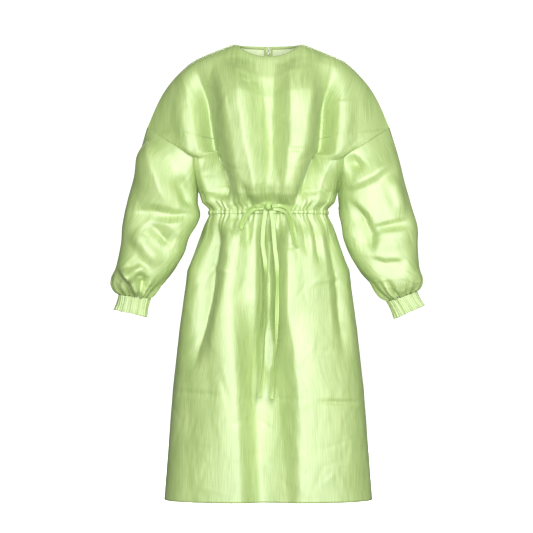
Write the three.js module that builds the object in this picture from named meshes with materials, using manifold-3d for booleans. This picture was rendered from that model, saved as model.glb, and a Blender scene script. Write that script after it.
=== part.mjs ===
// A long-sleeved, knee-length patient gown: bodice and skirt panels, drop-shoulder sleeves with
// elastic cuffs, a drawstring waist tied in a bow at the front, and a short zip at the back neck.
// Millimetres, +Z up, the front faces -Y. The origin is the middle of the shoulder line at the neck.
import * as THREE from "three";
import { mergeVertices } from "three/addons/utils/BufferGeometryUtils.js";
import Module from "manifold-3d";

const wasm = await Module();
wasm.setup();

// ---- driving dimensions ----
const CLOTH = 1.5; // wall of each cloth panel
const GAP = 0.4; // clearance between neighbouring pieces
const HEM_Z = -1142; // lower edge of the skirt
const WAIST_Z = -425; // middle of the drawstring casing
const NECK_HALF_WIDTH = 86;
const NECK_HALF_DEPTH = 64;
const CUFF_TOP_Z = -636;
const CUFF_LENGTH = 42;
const UNDERARM = { x: 176, z: -372 };
const SEAM_TOP = { x: 305, z: -212 }; // outer end of the drop-shoulder seam
const SEAM_FRONT = { x: 189, z: -286 }; // where the seam turns down to the underarm
const SLEEVE_TUCK = 6; // how much slimmer the sleeve head is than the armhole it sits in
const CASING_HEIGHT = 9;
const CASING_DEPTH = 4;
const STRING_WIDTH = 5.6; // drawstring inside the casing
const TIE_WIDTH = 10.5;
const TIE_THICK = 1.5;
const HEM_TURN_UP = 22;
const FACING_DEPTH = 30;
const BINDING_WIDTH = 7;
const ZIP_LENGTH = 215;
const ZIP_TILT = Math.atan(42 / 225); // the zip leans out from the vertical as the back does
const TAPE_WIDTH = 11;
const COIL_WIDTH = 2.6;
const ZIP_SLIT = 3.6; // half-width of the opening over the zip

const CLOTH_COLOUR = 0xb9d589;
const REVERSE_COLOUR = 0xc9d9a8;
const BINDING_COLOUR = 0xa3bb78;
const ELASTIC_COLOUR = 0xe9ecdf;
const METAL_COLOUR = 0xb9bcb4;

// Horizontal sections of the body from the neck down: height, half width, front depth, back depth.
const BODY_SECTIONS = [
  [4, 80, 34, 52],
  [-10, 112, 48, 66],
  [-45, 186, 72, 72.5],
  [-90, 214, 94, 81],
  [-140, 206, 108, 90.3],
  [-235, 190, 118, 108],
  [-300, 182, 120, 111],
  [UNDERARM.z, 169, 112, 108],
  [-400, 160, 106, 104],
  [WAIST_Z + 8, 148, 97, 99],
  [WAIST_Z - 8, 148, 97, 99],
  [-455, 160, 104, 106],
  [-486, 172, 110, 112],
  [-572, 203, 124, 124],
  [-717, 222, 136, 138],
  [-886, 240, 147, 148],
  [HEM_Z, 263, 158, 160],
];

// Horizontal sections of the arm on the +X side: height, centre x, half width, half depth, centre y.
const ARM_SECTIONS = [
  [-58, 190, 6, 8, 0],
  [-90, 188, 48, 50, 0],
  [-137, 192, 80, 68, 0],
  [SEAM_TOP.z, 219, 86, 77, 0],
  [-300, 245, 80, 78, -2],
  [-372, 261, 84, 78, -4],
  [-430, 267, 95, 80, -8],
  [-486, 284, 86, 78, -12],
  [-530, 295, 82, 75, -15],
  [-572, 314, 77, 68, -19],
  [-606, 329, 62, 54, -22],
  [CUFF_TOP_Z, 335, 39, 34, -24],
  [CUFF_TOP_Z - CUFF_LENGTH, 341, 42, 34, -26],
];

// ---- solids ----
function solidOf(geometry) {
  const bare = geometry.index ? geometry.toNonIndexed() : geometry.clone();
  bare.deleteAttribute("normal");
  bare.deleteAttribute("uv");
  const merged = mergeVertices(bare, 1e-3);
  return new wasm.Manifold(
    new wasm.Mesh({
      numProp: 3,
      vertProperties: new Float32Array(merged.attributes.position.array),
      triVerts: new Uint32Array(merged.index.array),
    }),
  );
}

function geometryOf(solid) {
  const mesh = solid.getMesh();
  const geometry = new THREE.BufferGeometry();
  geometry.setAttribute("position", new THREE.BufferAttribute(mesh.vertProperties, 3));
  geometry.setIndex(new THREE.BufferAttribute(mesh.triVerts, 1));
  const flat = geometry.toNonIndexed();
  flat.computeVertexNormals();
  return flat;
}

// A closed solid through rings of points, each ring counter-clockwise seen from above, top ring first.
function loftOf(rings) {
  const sides = rings[0].length;
  const points = rings.flat();
  const faces = [];
  for (let level = 0; level + 1 < rings.length; level++) {
    for (let i = 0; i < sides; i++) {
      const next = (i + 1) % sides;
      const upper = level * sides;
      const lower = upper + sides;
      faces.push(upper + i, lower + i, lower + next, upper + i, lower + next, upper + next);
    }
  }
  const last = (rings.length - 1) * sides;
  for (let i = 1; i + 1 < sides; i++) {
    faces.push(0, i, i + 1, last, last + i + 1, last + i);
  }
  const geometry = new THREE.BufferGeometry();
  geometry.setAttribute("position", new THREE.Float32BufferAttribute(points.flat(), 3));
  geometry.setIndex(faces);
  return solidOf(geometry);
}

// One ring of the body: an ellipse whose front and back halves have their own depth.
function bodyRing([z, width, front, back], inset, sides) {
  return Array.from({ length: sides }, (_, i) => {
    const turn = ((i + 0.5) / sides) * 2 * Math.PI;
    const depth = Math.sin(turn) < 0 ? front : back;
    return [(width - inset) * Math.cos(turn), (depth - inset) * Math.sin(turn), z - inset];
  });
}

function armRing([z, centre, width, depth, forward], inset, sides, side) {
  return Array.from({ length: sides }, (_, i) => {
    const turn = ((i + 0.5) / sides) * 2 * Math.PI;
    const x = side * centre + Math.max(width - inset, 1) * Math.cos(turn);
    return [x, forward + Math.max(depth - inset, 1) * Math.sin(turn), z - inset];
  });
}

function lower(section, by) {
  return [section[0] - by, ...section.slice(1)];
}

// The body as a solid, drawn in by inset; the inner copy runs on below the hem so that it stays open.
function bodySolid(inset) {
  const sections = BODY_SECTIONS.slice();
  if (inset > 0) sections.push(lower(sections[sections.length - 1], 20));
  return loftOf(sections.map((section) => bodyRing(section, inset, 36)));
}

function armSolid(side, inset, headTuck = 0) {
  const sections = ARM_SECTIONS.slice();
  if (inset > headTuck) sections.push(lower(sections[sections.length - 1], 20));
  const rings = sections.map((section) => {
    const tuck = headTuck * THREE.MathUtils.smoothstep(section[0], -460, -300);
    return armRing(section, inset + tuck, 20, side);
  });
  return loftOf(rings);
}

// An outline in the X-Z plane carried through the whole depth of the gown.
function prism(points, front = -400, back = 400) {
  const shape = new THREE.Shape(points.map(([x, z]) => new THREE.Vector2(x, z)));
  const slab = new THREE.ExtrudeGeometry(shape, { depth: back - front, bevelEnabled: false });
  slab.rotateX(Math.PI / 2);
  slab.translate(0, back, 0);
  return solidOf(slab);
}

function block(low, high) {
  const size = high.map((value, axis) => value - low[axis]);
  const box = new THREE.BoxGeometry(...size);
  box.translate(...low.map((value, axis) => value + size[axis] / 2));
  return solidOf(box);
}

// ---- the group and its meshes ----
const gown = new THREE.Group();

function addMesh(name, geometry, colour, roughness = 0.6, metalness = 0, parent = gown) {
  const material = new THREE.MeshStandardMaterial({ color: colour, roughness, metalness });
  const mesh = new THREE.Mesh(geometry, material);
  mesh.name = name;
  parent.add(mesh);
}

const SIDES = [
  ["left", -1],
  ["right", 1],
];

// ---- cloth shells ----
const ZIP_TOP = { y: 66.9, z: -15 };

// The region beyond each armhole seam: a slanted line from above the seam's outer end to where the
// seam turns, then down to the underarm and away between the sleeve and the skirt.
function sleeveRegion(side, gap) {
  const slope = (SEAM_TOP.z - SEAM_FRONT.z) / (SEAM_TOP.x - SEAM_FRONT.x);
  const outerZ = SEAM_TOP.z + slope * (480 - SEAM_TOP.x);
  const outline = [
    [480, outerZ - gap],
    [SEAM_FRONT.x + gap, SEAM_FRONT.z - gap],
    [UNDERARM.x + gap, UNDERARM.z],
    [250, -720],
    [480, -760],
  ];
  return prism(outline.map(([x, z]) => [side * x, z]));
}

function neckHole() {
  const hole = new THREE.CylinderGeometry(1, 1, 120, 36);
  hole.rotateX(Math.PI / 2);
  hole.scale(NECK_HALF_WIDTH, NECK_HALF_DEPTH, 1);
  return solidOf(hole);
}

function clothShell(inset) {
  let outer = bodySolid(inset);
  let inner = bodySolid(inset + CLOTH);
  for (const [, side] of SIDES) {
    outer = outer.add(armSolid(side, inset));
    inner = inner.add(armSolid(side, inset + CLOTH));
  }
  return outer.subtract(inner).subtract(neckHole());
}

const front = block([-600, -400, -1400], [600, -GAP / 2, 100]);
const aboveWaist = block([-600, -400, WAIST_Z + GAP / 2], [600, 400, 100]);
const belowWaist = block([-600, -400, -1400], [600, 400, WAIST_Z - GAP / 2]);
const zipSlit = block([-ZIP_SLIT, 10, ZIP_TOP.z - ZIP_LENGTH - 4], [ZIP_SLIT, 400, 100]);

function backHalf(side) {
  const [left, right] = side < 0 ? [-600, -GAP / 2] : [GAP / 2, 600];
  return block([left, GAP / 2, -1400], [right, 400, 100]);
}

function largestBody(solid) {
  return solid.decompose().sort((a, b) => b.volume() - a.volume())[0];
}

function addPanels() {
  let panels = clothShell(0);
  for (const [, side] of SIDES) panels = panels.subtract(sleeveRegion(side, 0));
  addBodiceAndSkirt("front", "", panels.intersect(front));
  for (const [name, side] of SIDES) {
    addBodiceAndSkirt("back", "_" + name, panels.intersect(backHalf(side)).subtract(zipSlit));
  }
}

// Bodice and skirt meet in the waist seam, which the casing covers.
function addBodiceAndSkirt(part, ending, panel) {
  const bodice = largestBody(panel.intersect(aboveWaist));
  const skirt = largestBody(panel.intersect(belowWaist));
  addMesh(part + "_bodice" + ending, geometryOf(bodice), CLOTH_COLOUR);
  addMesh(part + "_skirt" + ending, geometryOf(skirt), CLOTH_COLOUR);
}

function addSleeves() {
  const sleeveEnd = block([-600, -400, CUFF_TOP_Z + GAP], [600, 400, 100]);
  for (const [name, side] of SIDES) {
    const tube = armSolid(side, 0, SLEEVE_TUCK).subtract(armSolid(side, CLOTH, SLEEVE_TUCK));
    const sleeve = tube.intersect(sleeveRegion(side, 0.8)).intersect(sleeveEnd);
    addMesh("sleeve_" + name, geometryOf(largestBody(sleeve)), CLOTH_COLOUR);
  }
}

// ---- cuffs, with the elastic lying inside each folded cuff ----
function cuffTube(side, outset, inset, topZ, bottomZ) {
  const [above, below] = ARM_SECTIONS.slice(-2);
  const ring = (section, z, by) => armRing([z, ...section.slice(1)], by, 20, side).map(([x, y]) => [x, y, z]);
  const outer = loftOf([ring(above, topZ, -outset), ring(below, bottomZ, -outset)]);
  const inner = loftOf([ring(above, topZ + 10, inset), ring(below, bottomZ - 10, inset)]);
  return outer.subtract(inner);
}

function addCuffs() {
  const bottom = CUFF_TOP_Z - CUFF_LENGTH;
  for (const [name, side] of SIDES) {
    const pocket = cuffTube(side, 0, 2.2, CUFF_TOP_Z - 6, bottom + 6);
    const mouth = cuffTube(side, -1, 5, CUFF_TOP_Z - 18, bottom + 18);
    const cuff = cuffTube(side, 1.5, 4, CUFF_TOP_Z, bottom).subtract(pocket).subtract(mouth);
    addMesh("cuff_" + name, geometryOf(largestBody(cuff)), CLOTH_COLOUR);
    const elastic = cuffTube(side, -GAP, 2.2 - GAP, CUFF_TOP_Z - 6.5, bottom + 6.5);
    addMesh("cuff_elastic_" + name, geometryOf(elastic), ELASTIC_COLOUR, 0.85);
  }
}

// ---- strips that follow the body's surface ----
function bodyBand(insetOuter, insetInner, zTop, zBottom) {
  const band = bodySolid(insetOuter).subtract(bodySolid(insetInner));
  return band.intersect(block([-600, -400, zBottom], [600, 400, zTop]));
}

function addHemTurnUp() {
  const inner = CLOTH + GAP;
  const band = bodyBand(inner, inner + 1.2, HEM_Z + HEM_TURN_UP, HEM_Z + 0.5);
  addMesh("hem_turn_up_front", geometryOf(largestBody(band.intersect(front))), REVERSE_COLOUR);
  for (const [name, side] of SIDES) {
    const half = largestBody(band.intersect(backHalf(side)));
    addMesh("hem_turn_up_back_" + name, geometryOf(half), REVERSE_COLOUR);
  }
}

function neckRing(outset, height) {
  const ring = new THREE.CylinderGeometry(1, 1, height, 36);
  ring.rotateX(Math.PI / 2);
  ring.scale(NECK_HALF_WIDTH + outset, NECK_HALF_DEPTH + outset, 1);
  return solidOf(ring);
}

// The facing inside the front neckline, and the binding that edges the back neck on each side.
function addNeckFinish() {
  const inset = CLOTH + GAP;
  const under = bodySolid(inset).subtract(bodySolid(inset + 1.2));
  const ring = under.intersect(neckRing(FACING_DEPTH, 200)).subtract(neckRing(0, 220));
  const facing = ring.intersect(front);
  addMesh("neck_facing_front", geometryOf(largestBody(facing)), REVERSE_COLOUR);
  const narrow = under.intersect(neckRing(BINDING_WIDTH, 200)).subtract(neckRing(0, 220));
  const strip = narrow.subtract(zipClearance());
  for (const [name, side] of SIDES) {
    const binding = strip.intersect(backHalf(side));
    addMesh("neck_binding_back_" + name, geometryOf(largestBody(binding)), BINDING_COLOUR);
  }
}

// ---- waist: casing, drawstring, bow ----
function waistRing(outset, z) {
  const [, width, frontDepth, backDepth] = BODY_SECTIONS[9];
  return bodyRing([z, width, frontDepth, backDepth], -outset, 40).map(([x, y]) => [x, y, z]);
}

function waistHoop(outer, inner, height) {
  const half = height / 2;
  const hoop = loftOf([waistRing(outer, WAIST_Z + half), waistRing(outer, WAIST_Z - half)]);
  const beyond = half + 5;
  return hoop.subtract(loftOf([waistRing(inner, WAIST_Z + beyond), waistRing(inner, WAIST_Z - beyond)]));
}

function addWaist() {
  const opening = block([-6, -200, WAIST_Z - 30], [6, 0, WAIST_Z + 30]);
  const channel = waistHoop(CASING_DEPTH - 1.2, -2, CASING_HEIGHT - 2.4);
  const casing = waistHoop(CASING_DEPTH, GAP, CASING_HEIGHT).subtract(channel).subtract(opening);
  addMesh("waist_casing", geometryOf(largestBody(casing)), CLOTH_COLOUR);
  const string = waistHoop(CASING_DEPTH - 1.6, GAP + 0.4, STRING_WIDTH).subtract(opening);
  addMesh("drawstring", geometryOf(largestBody(string)), CLOTH_COLOUR);
}

// A flat tape along a route of points, its width turned to lie across the route.
function tapeGeometry(points, width, thick, steps) {
  const corners = points.map((point) => new THREE.Vector3(...point));
  const path = new THREE.CatmullRomCurve3(corners, false, "centripetal");
  const corner = 0.4;
  const outline = [
    [-width / 2, -thick * corner],
    [-width / 2 + corner, -thick / 2],
    [width / 2 - corner, -thick / 2],
    [width / 2, -thick * corner],
    [width / 2, thick * corner],
    [width / 2 - corner, thick / 2],
    [-width / 2 + corner, thick / 2],
    [-width / 2, thick * corner],
  ];
  const positions = [];
  const up = new THREE.Vector3(0, -1, 0);
  for (let step = 0; step <= steps; step++) {
    const at = path.getPointAt(step / steps);
    const along = path.getTangentAt(step / steps);
    const across = new THREE.Vector3().crossVectors(along, up).normalize();
    const out = new THREE.Vector3().crossVectors(across, along).normalize();
    const place = ([u, v]) => at.clone().addScaledVector(across, u).addScaledVector(out, v);
    positions.push(outline.map((corner) => place(corner).toArray()));
  }
  const solid = loftOf(positions);
  if (solid.volume() > 0) return geometryOf(solid);
  return geometryOf(loftOf(positions.map((ring) => ring.slice().reverse())));
}

// Routes of the bow: each loop goes out along the casing, over its edge and back; each tail hangs.
const KNOT = { x: 0, y: -109, z: -411 };
const TAIL_ROUTES = {
  left: [
    [-6.5, -110, -422], [-9, -112, -440], [-11.5, -114, -456], [-13, -116, -470],
    [-14, -118.5, -488], [-14, -121, -505], [-11, -124, -528], [-8, -127, -550],
    [-6.8, -130, -580], [-6.5, -133, -610], [-7, -137, -670], [-8.3, -139.5, -700],
    [-10, -142, -730], [-13, -146, -790], [-17, -150, -840], [-23, -153, -884],
  ],
  right: [
    [6.5, -110, -422], [10, -112, -440], [11.7, -114.5, -458], [13, -117, -475],
    [15.2, -119.5, -498], [17, -122, -520], [19.3, -125, -540], [21, -128, -560],
    [21.8, -130.5, -585], [22, -133, -610], [21.6, -135.5, -645], [21, -138, -680],
    [19, -142, -740], [14, -147, -800], [11, -151, -850], [7, -153, -888],
  ],
};
const LOOP_ROUTES = {
  left: [
    [-9, -109, -411], [-24, -112, -410], [-40, -113, -414], [-52, -113, -426],
    [-62, -116, -444], [-68, -120, -462], [-64, -124, -464], [-56, -121, -446],
    [-46, -118, -428], [-32, -117, -418], [-12, -114, -415],
  ],
  right: [
    [9, -109, -411], [28, -112, -410], [46, -112, -417], [56, -112, -434],
    [64, -116, -468], [72, -121, -506], [68, -125, -508], [58, -121, -470],
    [49, -118, -436], [36, -117, -422], [12, -114, -416],
  ],
};

function addBow() {
  const knot = new THREE.SphereGeometry(1, 16, 10);
  knot.scale(7.4, 6, 9);
  knot.translate(KNOT.x, KNOT.y, KNOT.z);
  addMesh("tie_knot", knot, CLOTH_COLOUR);
  for (const [name] of SIDES) {
    const loop = tapeGeometry(LOOP_ROUTES[name], TIE_WIDTH, TIE_THICK, 24);
    addMesh("bow_loop_" + name, loop, CLOTH_COLOUR);
    const tail = tapeGeometry(TAIL_ROUTES[name], TIE_WIDTH, TIE_THICK, 24);
    addMesh("tie_tail_" + name, tail, CLOTH_COLOUR);
  }
}

// ---- back-neck zip: in its own frame, -Z runs down the zip and +Y points out of the back ----
const zip = new THREE.Group();
zip.position.set(0, ZIP_TOP.y, ZIP_TOP.z);
zip.rotation.x = ZIP_TILT;
gown.add(zip);

function inZipFrame(geometry) {
  zip.updateMatrixWorld(true);
  return geometry.applyMatrix4(zip.matrixWorld);
}

function zipBox(low, high) {
  const box = new THREE.BoxGeometry(...high.map((value, axis) => value - low[axis]));
  box.translate(...low.map((value, axis) => (value + high[axis]) / 2));
  return box;
}

// Room for the zip's tapes behind the neck binding.
function zipClearance() {
  const reach = TAPE_WIDTH + GAP * 2;
  return solidOf(inZipFrame(zipBox([-reach, -9, -ZIP_LENGTH - 8], [reach, 4, 14])));
}

const TAPE_FRONT = -3.7; // the tape's inner face, below the cloth of the back
const TAPE_BACK = -2.7;
const SLIDER_DROP = 4; // from the zip's top stops to the slider

function addTapes() {
  for (const [name, side] of SIDES) {
    const near = side * (GAP + 0.1);
    const far = side * TAPE_WIDTH;
    const [low, high] = side < 0 ? [far, near] : [near, far];
    const tape = zipBox([low, TAPE_FRONT, -ZIP_LENGTH], [high, TAPE_BACK, 6]);
    addMesh("zip_tape_" + name, tape, BINDING_COLOUR, 0.8, 0, zip);
  }
}

// One coil row is a core with teeth that stand proud of it at an even pitch.
function addCoils() {
  const pitch = 8;
  const base = TAPE_BACK + 0.3;
  for (const [name, side] of SIDES) {
    const span = (a, b) => [Math.min(side * a, side * b), Math.max(side * a, side * b)];
    const [coreLow, coreHigh] = span(0.5, COIL_WIDTH);
    let row = solidOf(zipBox([coreLow, base, -ZIP_LENGTH + 6], [coreHigh, base + 1, -2]));
    const [toothLow, toothHigh] = span(0.9, COIL_WIDTH - 0.4);
    for (let z = -ZIP_LENGTH + 8; z < -6; z += pitch) {
      row = row.add(solidOf(zipBox([toothLow, base + 0.5, z], [toothHigh, base + 1.7, z + pitch / 2])));
    }
    addMesh("zip_coil_" + name, geometryOf(row), METAL_COLOUR, 0.5, 0.2, zip);
  }
}

function addStops() {
  const base = TAPE_BACK + 0.3;
  for (const [name, side] of SIDES) {
    const [low, high] = side < 0 ? [-COIL_WIDTH, -0.5] : [0.5, COIL_WIDTH];
    const stop = zipBox([low, base, -1.6], [high, base + 1.8, 1.4]);
    addMesh("zip_top_stop_" + name, stop, METAL_COLOUR, 0.35, 0.9, zip);
  }
  const bottom = zipBox([-3, base, -ZIP_LENGTH + 1.6], [3, base + 1.8, -ZIP_LENGTH + 5.2]);
  addMesh("zip_bottom_stop", bottom, METAL_COLOUR, 0.35, 0.9, zip);
}

// The slider is a plate over the coil with a bridge on two posts. The pull's bar lies under the
// bridge, between the posts, and its window lets the lower post through.
const PULL_EYE = { y: TAPE_BACK + 4.45, z: -SLIDER_DROP - 4.4 };

function addSlider() {
  const base = TAPE_BACK + 2.3;
  const posts = [-3, 1.8];
  const postTop = PULL_EYE.y + 1;
  const eyeZ = PULL_EYE.z;
  let slider = solidOf(zipBox([-3.1, base, eyeZ - 4.6], [3.1, base + 1.2, eyeZ + 4.4]));
  for (const low of posts) {
    const post = zipBox([-1, base + 1, eyeZ + low], [1, postTop, eyeZ + low + 1.2]);
    slider = slider.add(solidOf(post));
  }
  slider = slider.add(solidOf(zipBox([-1, postTop - 0.1, eyeZ - 3], [1, postTop + 1, eyeZ + 3])));
  addMesh("zip_slider", geometryOf(slider), METAL_COLOUR, 0.3, 0.95, zip);
}

function addPull() {
  const thick = 0.45;
  const { y, z } = PULL_EYE;
  const plate = (width, low, high, half) =>
    solidOf(zipBox([-width, y - half, z + low], [width, y + half, z + high]));
  const arm = plate(2.5, -26, 0.6, thick);
  const window = plate(1.5, -4.4, -0.6, 1);
  const slot = plate(1.3, -23, -8, 1);
  addMesh("zip_pull", geometryOf(arm.subtract(window).subtract(slot)), METAL_COLOUR, 0.3, 0.95, zip);
}

// The hook on the left edge and the eye on the right, above the zip.
function addHookAndEye() {
  const wire = (points) => {
    const path = new THREE.CatmullRomCurve3(points.map((point) => new THREE.Vector3(...point)));
    const ring = new THREE.Shape().absarc(0, 0, 0.45, 0, 2 * Math.PI);
    const options = { extrudePath: path, steps: 14, curveSegments: 3, bevelEnabled: false };
    return new THREE.ExtrudeGeometry(ring, options);
  };
  const depth = TAPE_BACK - 2.3;
  const middle = depth - 1.5;
  const hookRoute = [[-8, depth, 3], [-3, depth, 3], [1.2, depth - 0.4, 3], [1.8, middle, 3]];
  const hook = wire([...hookRoute, [1.2, depth - 2.6, 3], [-2, depth - 3, 3]]);
  const eyeRoute = [[8, middle, 5.2], [3, middle, 5.2], [-0.3, middle, 4.8], [-0.8, middle, 3]];
  const eye = wire([...eyeRoute, [-0.3, middle, 1.2], [3, middle, 0.8], [8, middle, 0.8]]);
  addMesh("neck_hook", hook, METAL_COLOUR, 0.3, 0.95, zip);
  addMesh("neck_eye", eye, METAL_COLOUR, 0.3, 0.95, zip);
}

addPanels();
addSleeves();
addCuffs();
addHemTurnUp();
addNeckFinish();
addWaist();
addBow();
addTapes();
addCoils();
addStops();
addSlider();
addPull();
addHookAndEye();

export default gown;
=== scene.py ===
import bmesh
import bpy
import numpy as np
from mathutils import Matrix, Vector


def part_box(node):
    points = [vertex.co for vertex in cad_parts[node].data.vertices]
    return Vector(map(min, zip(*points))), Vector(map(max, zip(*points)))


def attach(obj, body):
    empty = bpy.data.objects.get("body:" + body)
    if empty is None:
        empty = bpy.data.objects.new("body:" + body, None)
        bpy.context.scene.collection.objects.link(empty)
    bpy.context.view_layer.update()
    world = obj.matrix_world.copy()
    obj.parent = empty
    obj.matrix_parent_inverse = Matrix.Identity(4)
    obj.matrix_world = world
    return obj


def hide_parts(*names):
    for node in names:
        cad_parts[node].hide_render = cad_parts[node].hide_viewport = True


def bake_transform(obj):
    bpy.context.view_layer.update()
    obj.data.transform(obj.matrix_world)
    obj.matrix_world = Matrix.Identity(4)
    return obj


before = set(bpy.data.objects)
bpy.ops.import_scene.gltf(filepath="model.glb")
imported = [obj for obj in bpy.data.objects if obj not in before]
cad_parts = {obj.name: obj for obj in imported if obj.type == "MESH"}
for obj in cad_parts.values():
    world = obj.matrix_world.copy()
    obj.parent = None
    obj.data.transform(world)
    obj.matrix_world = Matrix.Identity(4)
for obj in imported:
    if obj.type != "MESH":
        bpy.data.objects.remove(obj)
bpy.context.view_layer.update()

# ---- sizes worked out from the frame, in metres ----
CASING_LOW, CASING_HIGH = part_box("waist_casing")
WAIST_Z = (CASING_LOW.z + CASING_HIGH.z) / 2
CASING_HEIGHT = CASING_HIGH.z - CASING_LOW.z
HEM_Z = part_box("front_skirt")[0].z
CUFF_LOW, CUFF_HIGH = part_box("cuff_right")
ZIP_BOTTOM_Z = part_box("zip_bottom_stop")[0].z
CLOTH = 0.0006  # thickness that the drawn cloth has
TRIM_CLOTH = 0.0004  # thickness of the turned-in strips and bindings
ZIP_CLEAR = 0.0036  # half of the opening over the zip
ZIP_EDGE = 0.014  # width of the back's cloth, each side of the zip, that gives way to the opening
ZIP_TURN_IN = 0.0016  # how far its edge is turned in to the tape
SIDES = (("left", -1), ("right", 1))


# ---- small maths ----
def ease(t):
    """0 below 0, 1 above 1, and a smooth rise between: 3t^2 - 2t^3."""
    t = np.clip(t, 0, 1)
    return t * t * (3 - 2 * t)


def through(points, t):
    """A Catmull-Rom curve through the points, read at t from 0 to 1: cubic pieces whose slope at each
    point is half the step between its neighbours."""
    p = np.asarray(points, float)
    p = np.concatenate([2 * p[:1] - p[1:2], p, 2 * p[-1:] - p[-2:-1]])
    at = np.clip(np.asarray(t, float), 0, 1) * (len(p) - 3)
    i = np.minimum(at.astype(int), len(p) - 4)
    f = (at - i)[..., None]
    a, b, c, d = p[i], p[i + 1], p[i + 2], p[i + 3]
    return 0.5 * (2 * b + (c - a) * f + (2 * a - 5 * b + 4 * c - d) * f**2 + (3 * b - a - 3 * c + d) * f**3)


def signed_power(value, power):
    """The value's size to the given power, with its sign kept: a superellipse's coordinate."""
    return np.sign(value) * np.abs(value) ** power


def ring_angles(count):
    """Evenly spaced angles once round, the last one step short of the first."""
    return np.linspace(0, 2 * np.pi, count, endpoint=False)


def from_ends(count, rise):
    """0 at both ends of a row of the given count, rising to 1 over so many steps."""
    steps = np.arange(count)
    return ease(np.minimum(steps, steps[::-1]) / rise)


def unit(v):
    """Each vector divided by its length."""
    return v / np.maximum(np.linalg.norm(v, axis=-1, keepdims=True), 1e-12)


def grid_normals(grid, closed=False):
    """Normals of a grid of points: the cross product of its steps across and down."""
    if closed:
        across = np.roll(grid, -1, 1) - np.roll(grid, 1, 1)
    else:
        across = np.gradient(grid, axis=1)
    return unit(np.cross(np.gradient(grid, axis=0), across))


def outward(grid, closed=False):
    """The grid's normals, all turned the way that leads away from its upright middle line."""
    normal = grid_normals(grid, closed)
    away = grid - grid.mean(1, keepdims=True) if closed else grid * [1, 1, 0]
    return normal * np.sign((normal * away).sum())


def grid_faces(rows, columns, closed=False):
    """Quads of a grid of rows by columns; closed joins the last column to the first."""
    r = np.arange(rows - 1)[:, None]
    c = np.arange(columns if closed else columns - 1)[None, :]
    n = (c + 1) % columns
    quads = np.stack([r * columns + c, (r + 1) * columns + c, (r + 1) * columns + n, r * columns + n], -1)
    return quads.reshape(-1, 4)


def capped_faces(rows, columns):
    """The faces of a tube of rings, with one face over each of its two open ends."""
    last = (rows - 1) * columns
    ends = [list(range(columns)), [last + i for i in range(columns)][::-1]]
    return grid_faces(rows, columns, closed=True).tolist() + ends


# ---- meshes ----
def make_piece(name, points, faces, materials, uv=None):
    """A smooth-shaded object of the points and faces; uv gives each point its place on the cloth."""
    mesh = bpy.data.meshes.new(name)
    faces = faces if isinstance(faces, list) else faces.tolist()
    mesh.from_pydata(np.asarray(points, float).reshape(-1, 3).tolist(), [], faces)
    mesh.polygons.foreach_set("use_smooth", [True] * len(mesh.polygons))
    if uv is not None:
        corners = np.empty(len(mesh.loops), np.int32)
        mesh.loops.foreach_get("vertex_index", corners)
        layer = mesh.uv_layers.new(name="cloth")
        layer.data.foreach_set("uv", np.asarray(uv, np.float32).reshape(-1, 2)[corners].ravel())
    for material in materials:
        mesh.materials.append(material)
    mesh.update()
    piece = bpy.data.objects.new(name, mesh)
    bpy.context.scene.collection.objects.link(piece)
    return piece


def thicken(piece, thickness=CLOTH, inner_material=0):
    """Gives a sheet its thickness, inwards from its surface; the inside may have its own material."""
    step = piece.modifiers.new("thickness", "SOLIDIFY")
    step.thickness = thickness
    step.offset = -1
    step.material_offset = inner_material
    step.use_rim = True


# ---- materials ----
def new_material(name, base, roughness, specular=0.5, sheen=0.0):
    """A plain surface of one colour. Returns the material, its node tree and its shader."""
    material = bpy.data.materials.new(name)
    material.use_nodes = True
    shader = material.node_tree.nodes["Principled BSDF"]
    shader.inputs["Base Color"].default_value = (*base, 1)
    shader.inputs["Roughness"].default_value = roughness
    shader.inputs["Specular IOR Level"].default_value = specular
    shader.inputs["Sheen Weight"].default_value = sheen
    shader.inputs["Sheen Roughness"].default_value = 0.4
    return material, material.node_tree, shader


def add_node(tree, kind, **values):
    """A shader node with the given inputs and settings."""
    node = tree.nodes.new(kind)
    for key, value in values.items():
        if key in node.inputs:
            node.inputs[key].default_value = value
        else:
            setattr(node, key, value)
    return node


def stretched_noise(tree, source, scale, detail=3.0, kind="FBM"):
    """Noise on the given coordinates, drawn out by a Mapping node."""
    mapping = add_node(tree, "ShaderNodeMapping", Scale=scale)
    tree.links.new(source, mapping.inputs["Vector"])
    noise = add_node(tree, "ShaderNodeTexNoise", Scale=1.0, Detail=detail, Roughness=0.55, noise_type=kind)
    tree.links.new(mapping.outputs["Vector"], noise.inputs["Vector"])
    return noise.outputs["Fac"]


# Strength of the bumps on cloth, and how far round its middle the roughness and the colour may swing.
CRUMPLE = 0.20
ROUGHNESS_SWING = 0.10
COLOUR_SWING = 0.10


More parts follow.
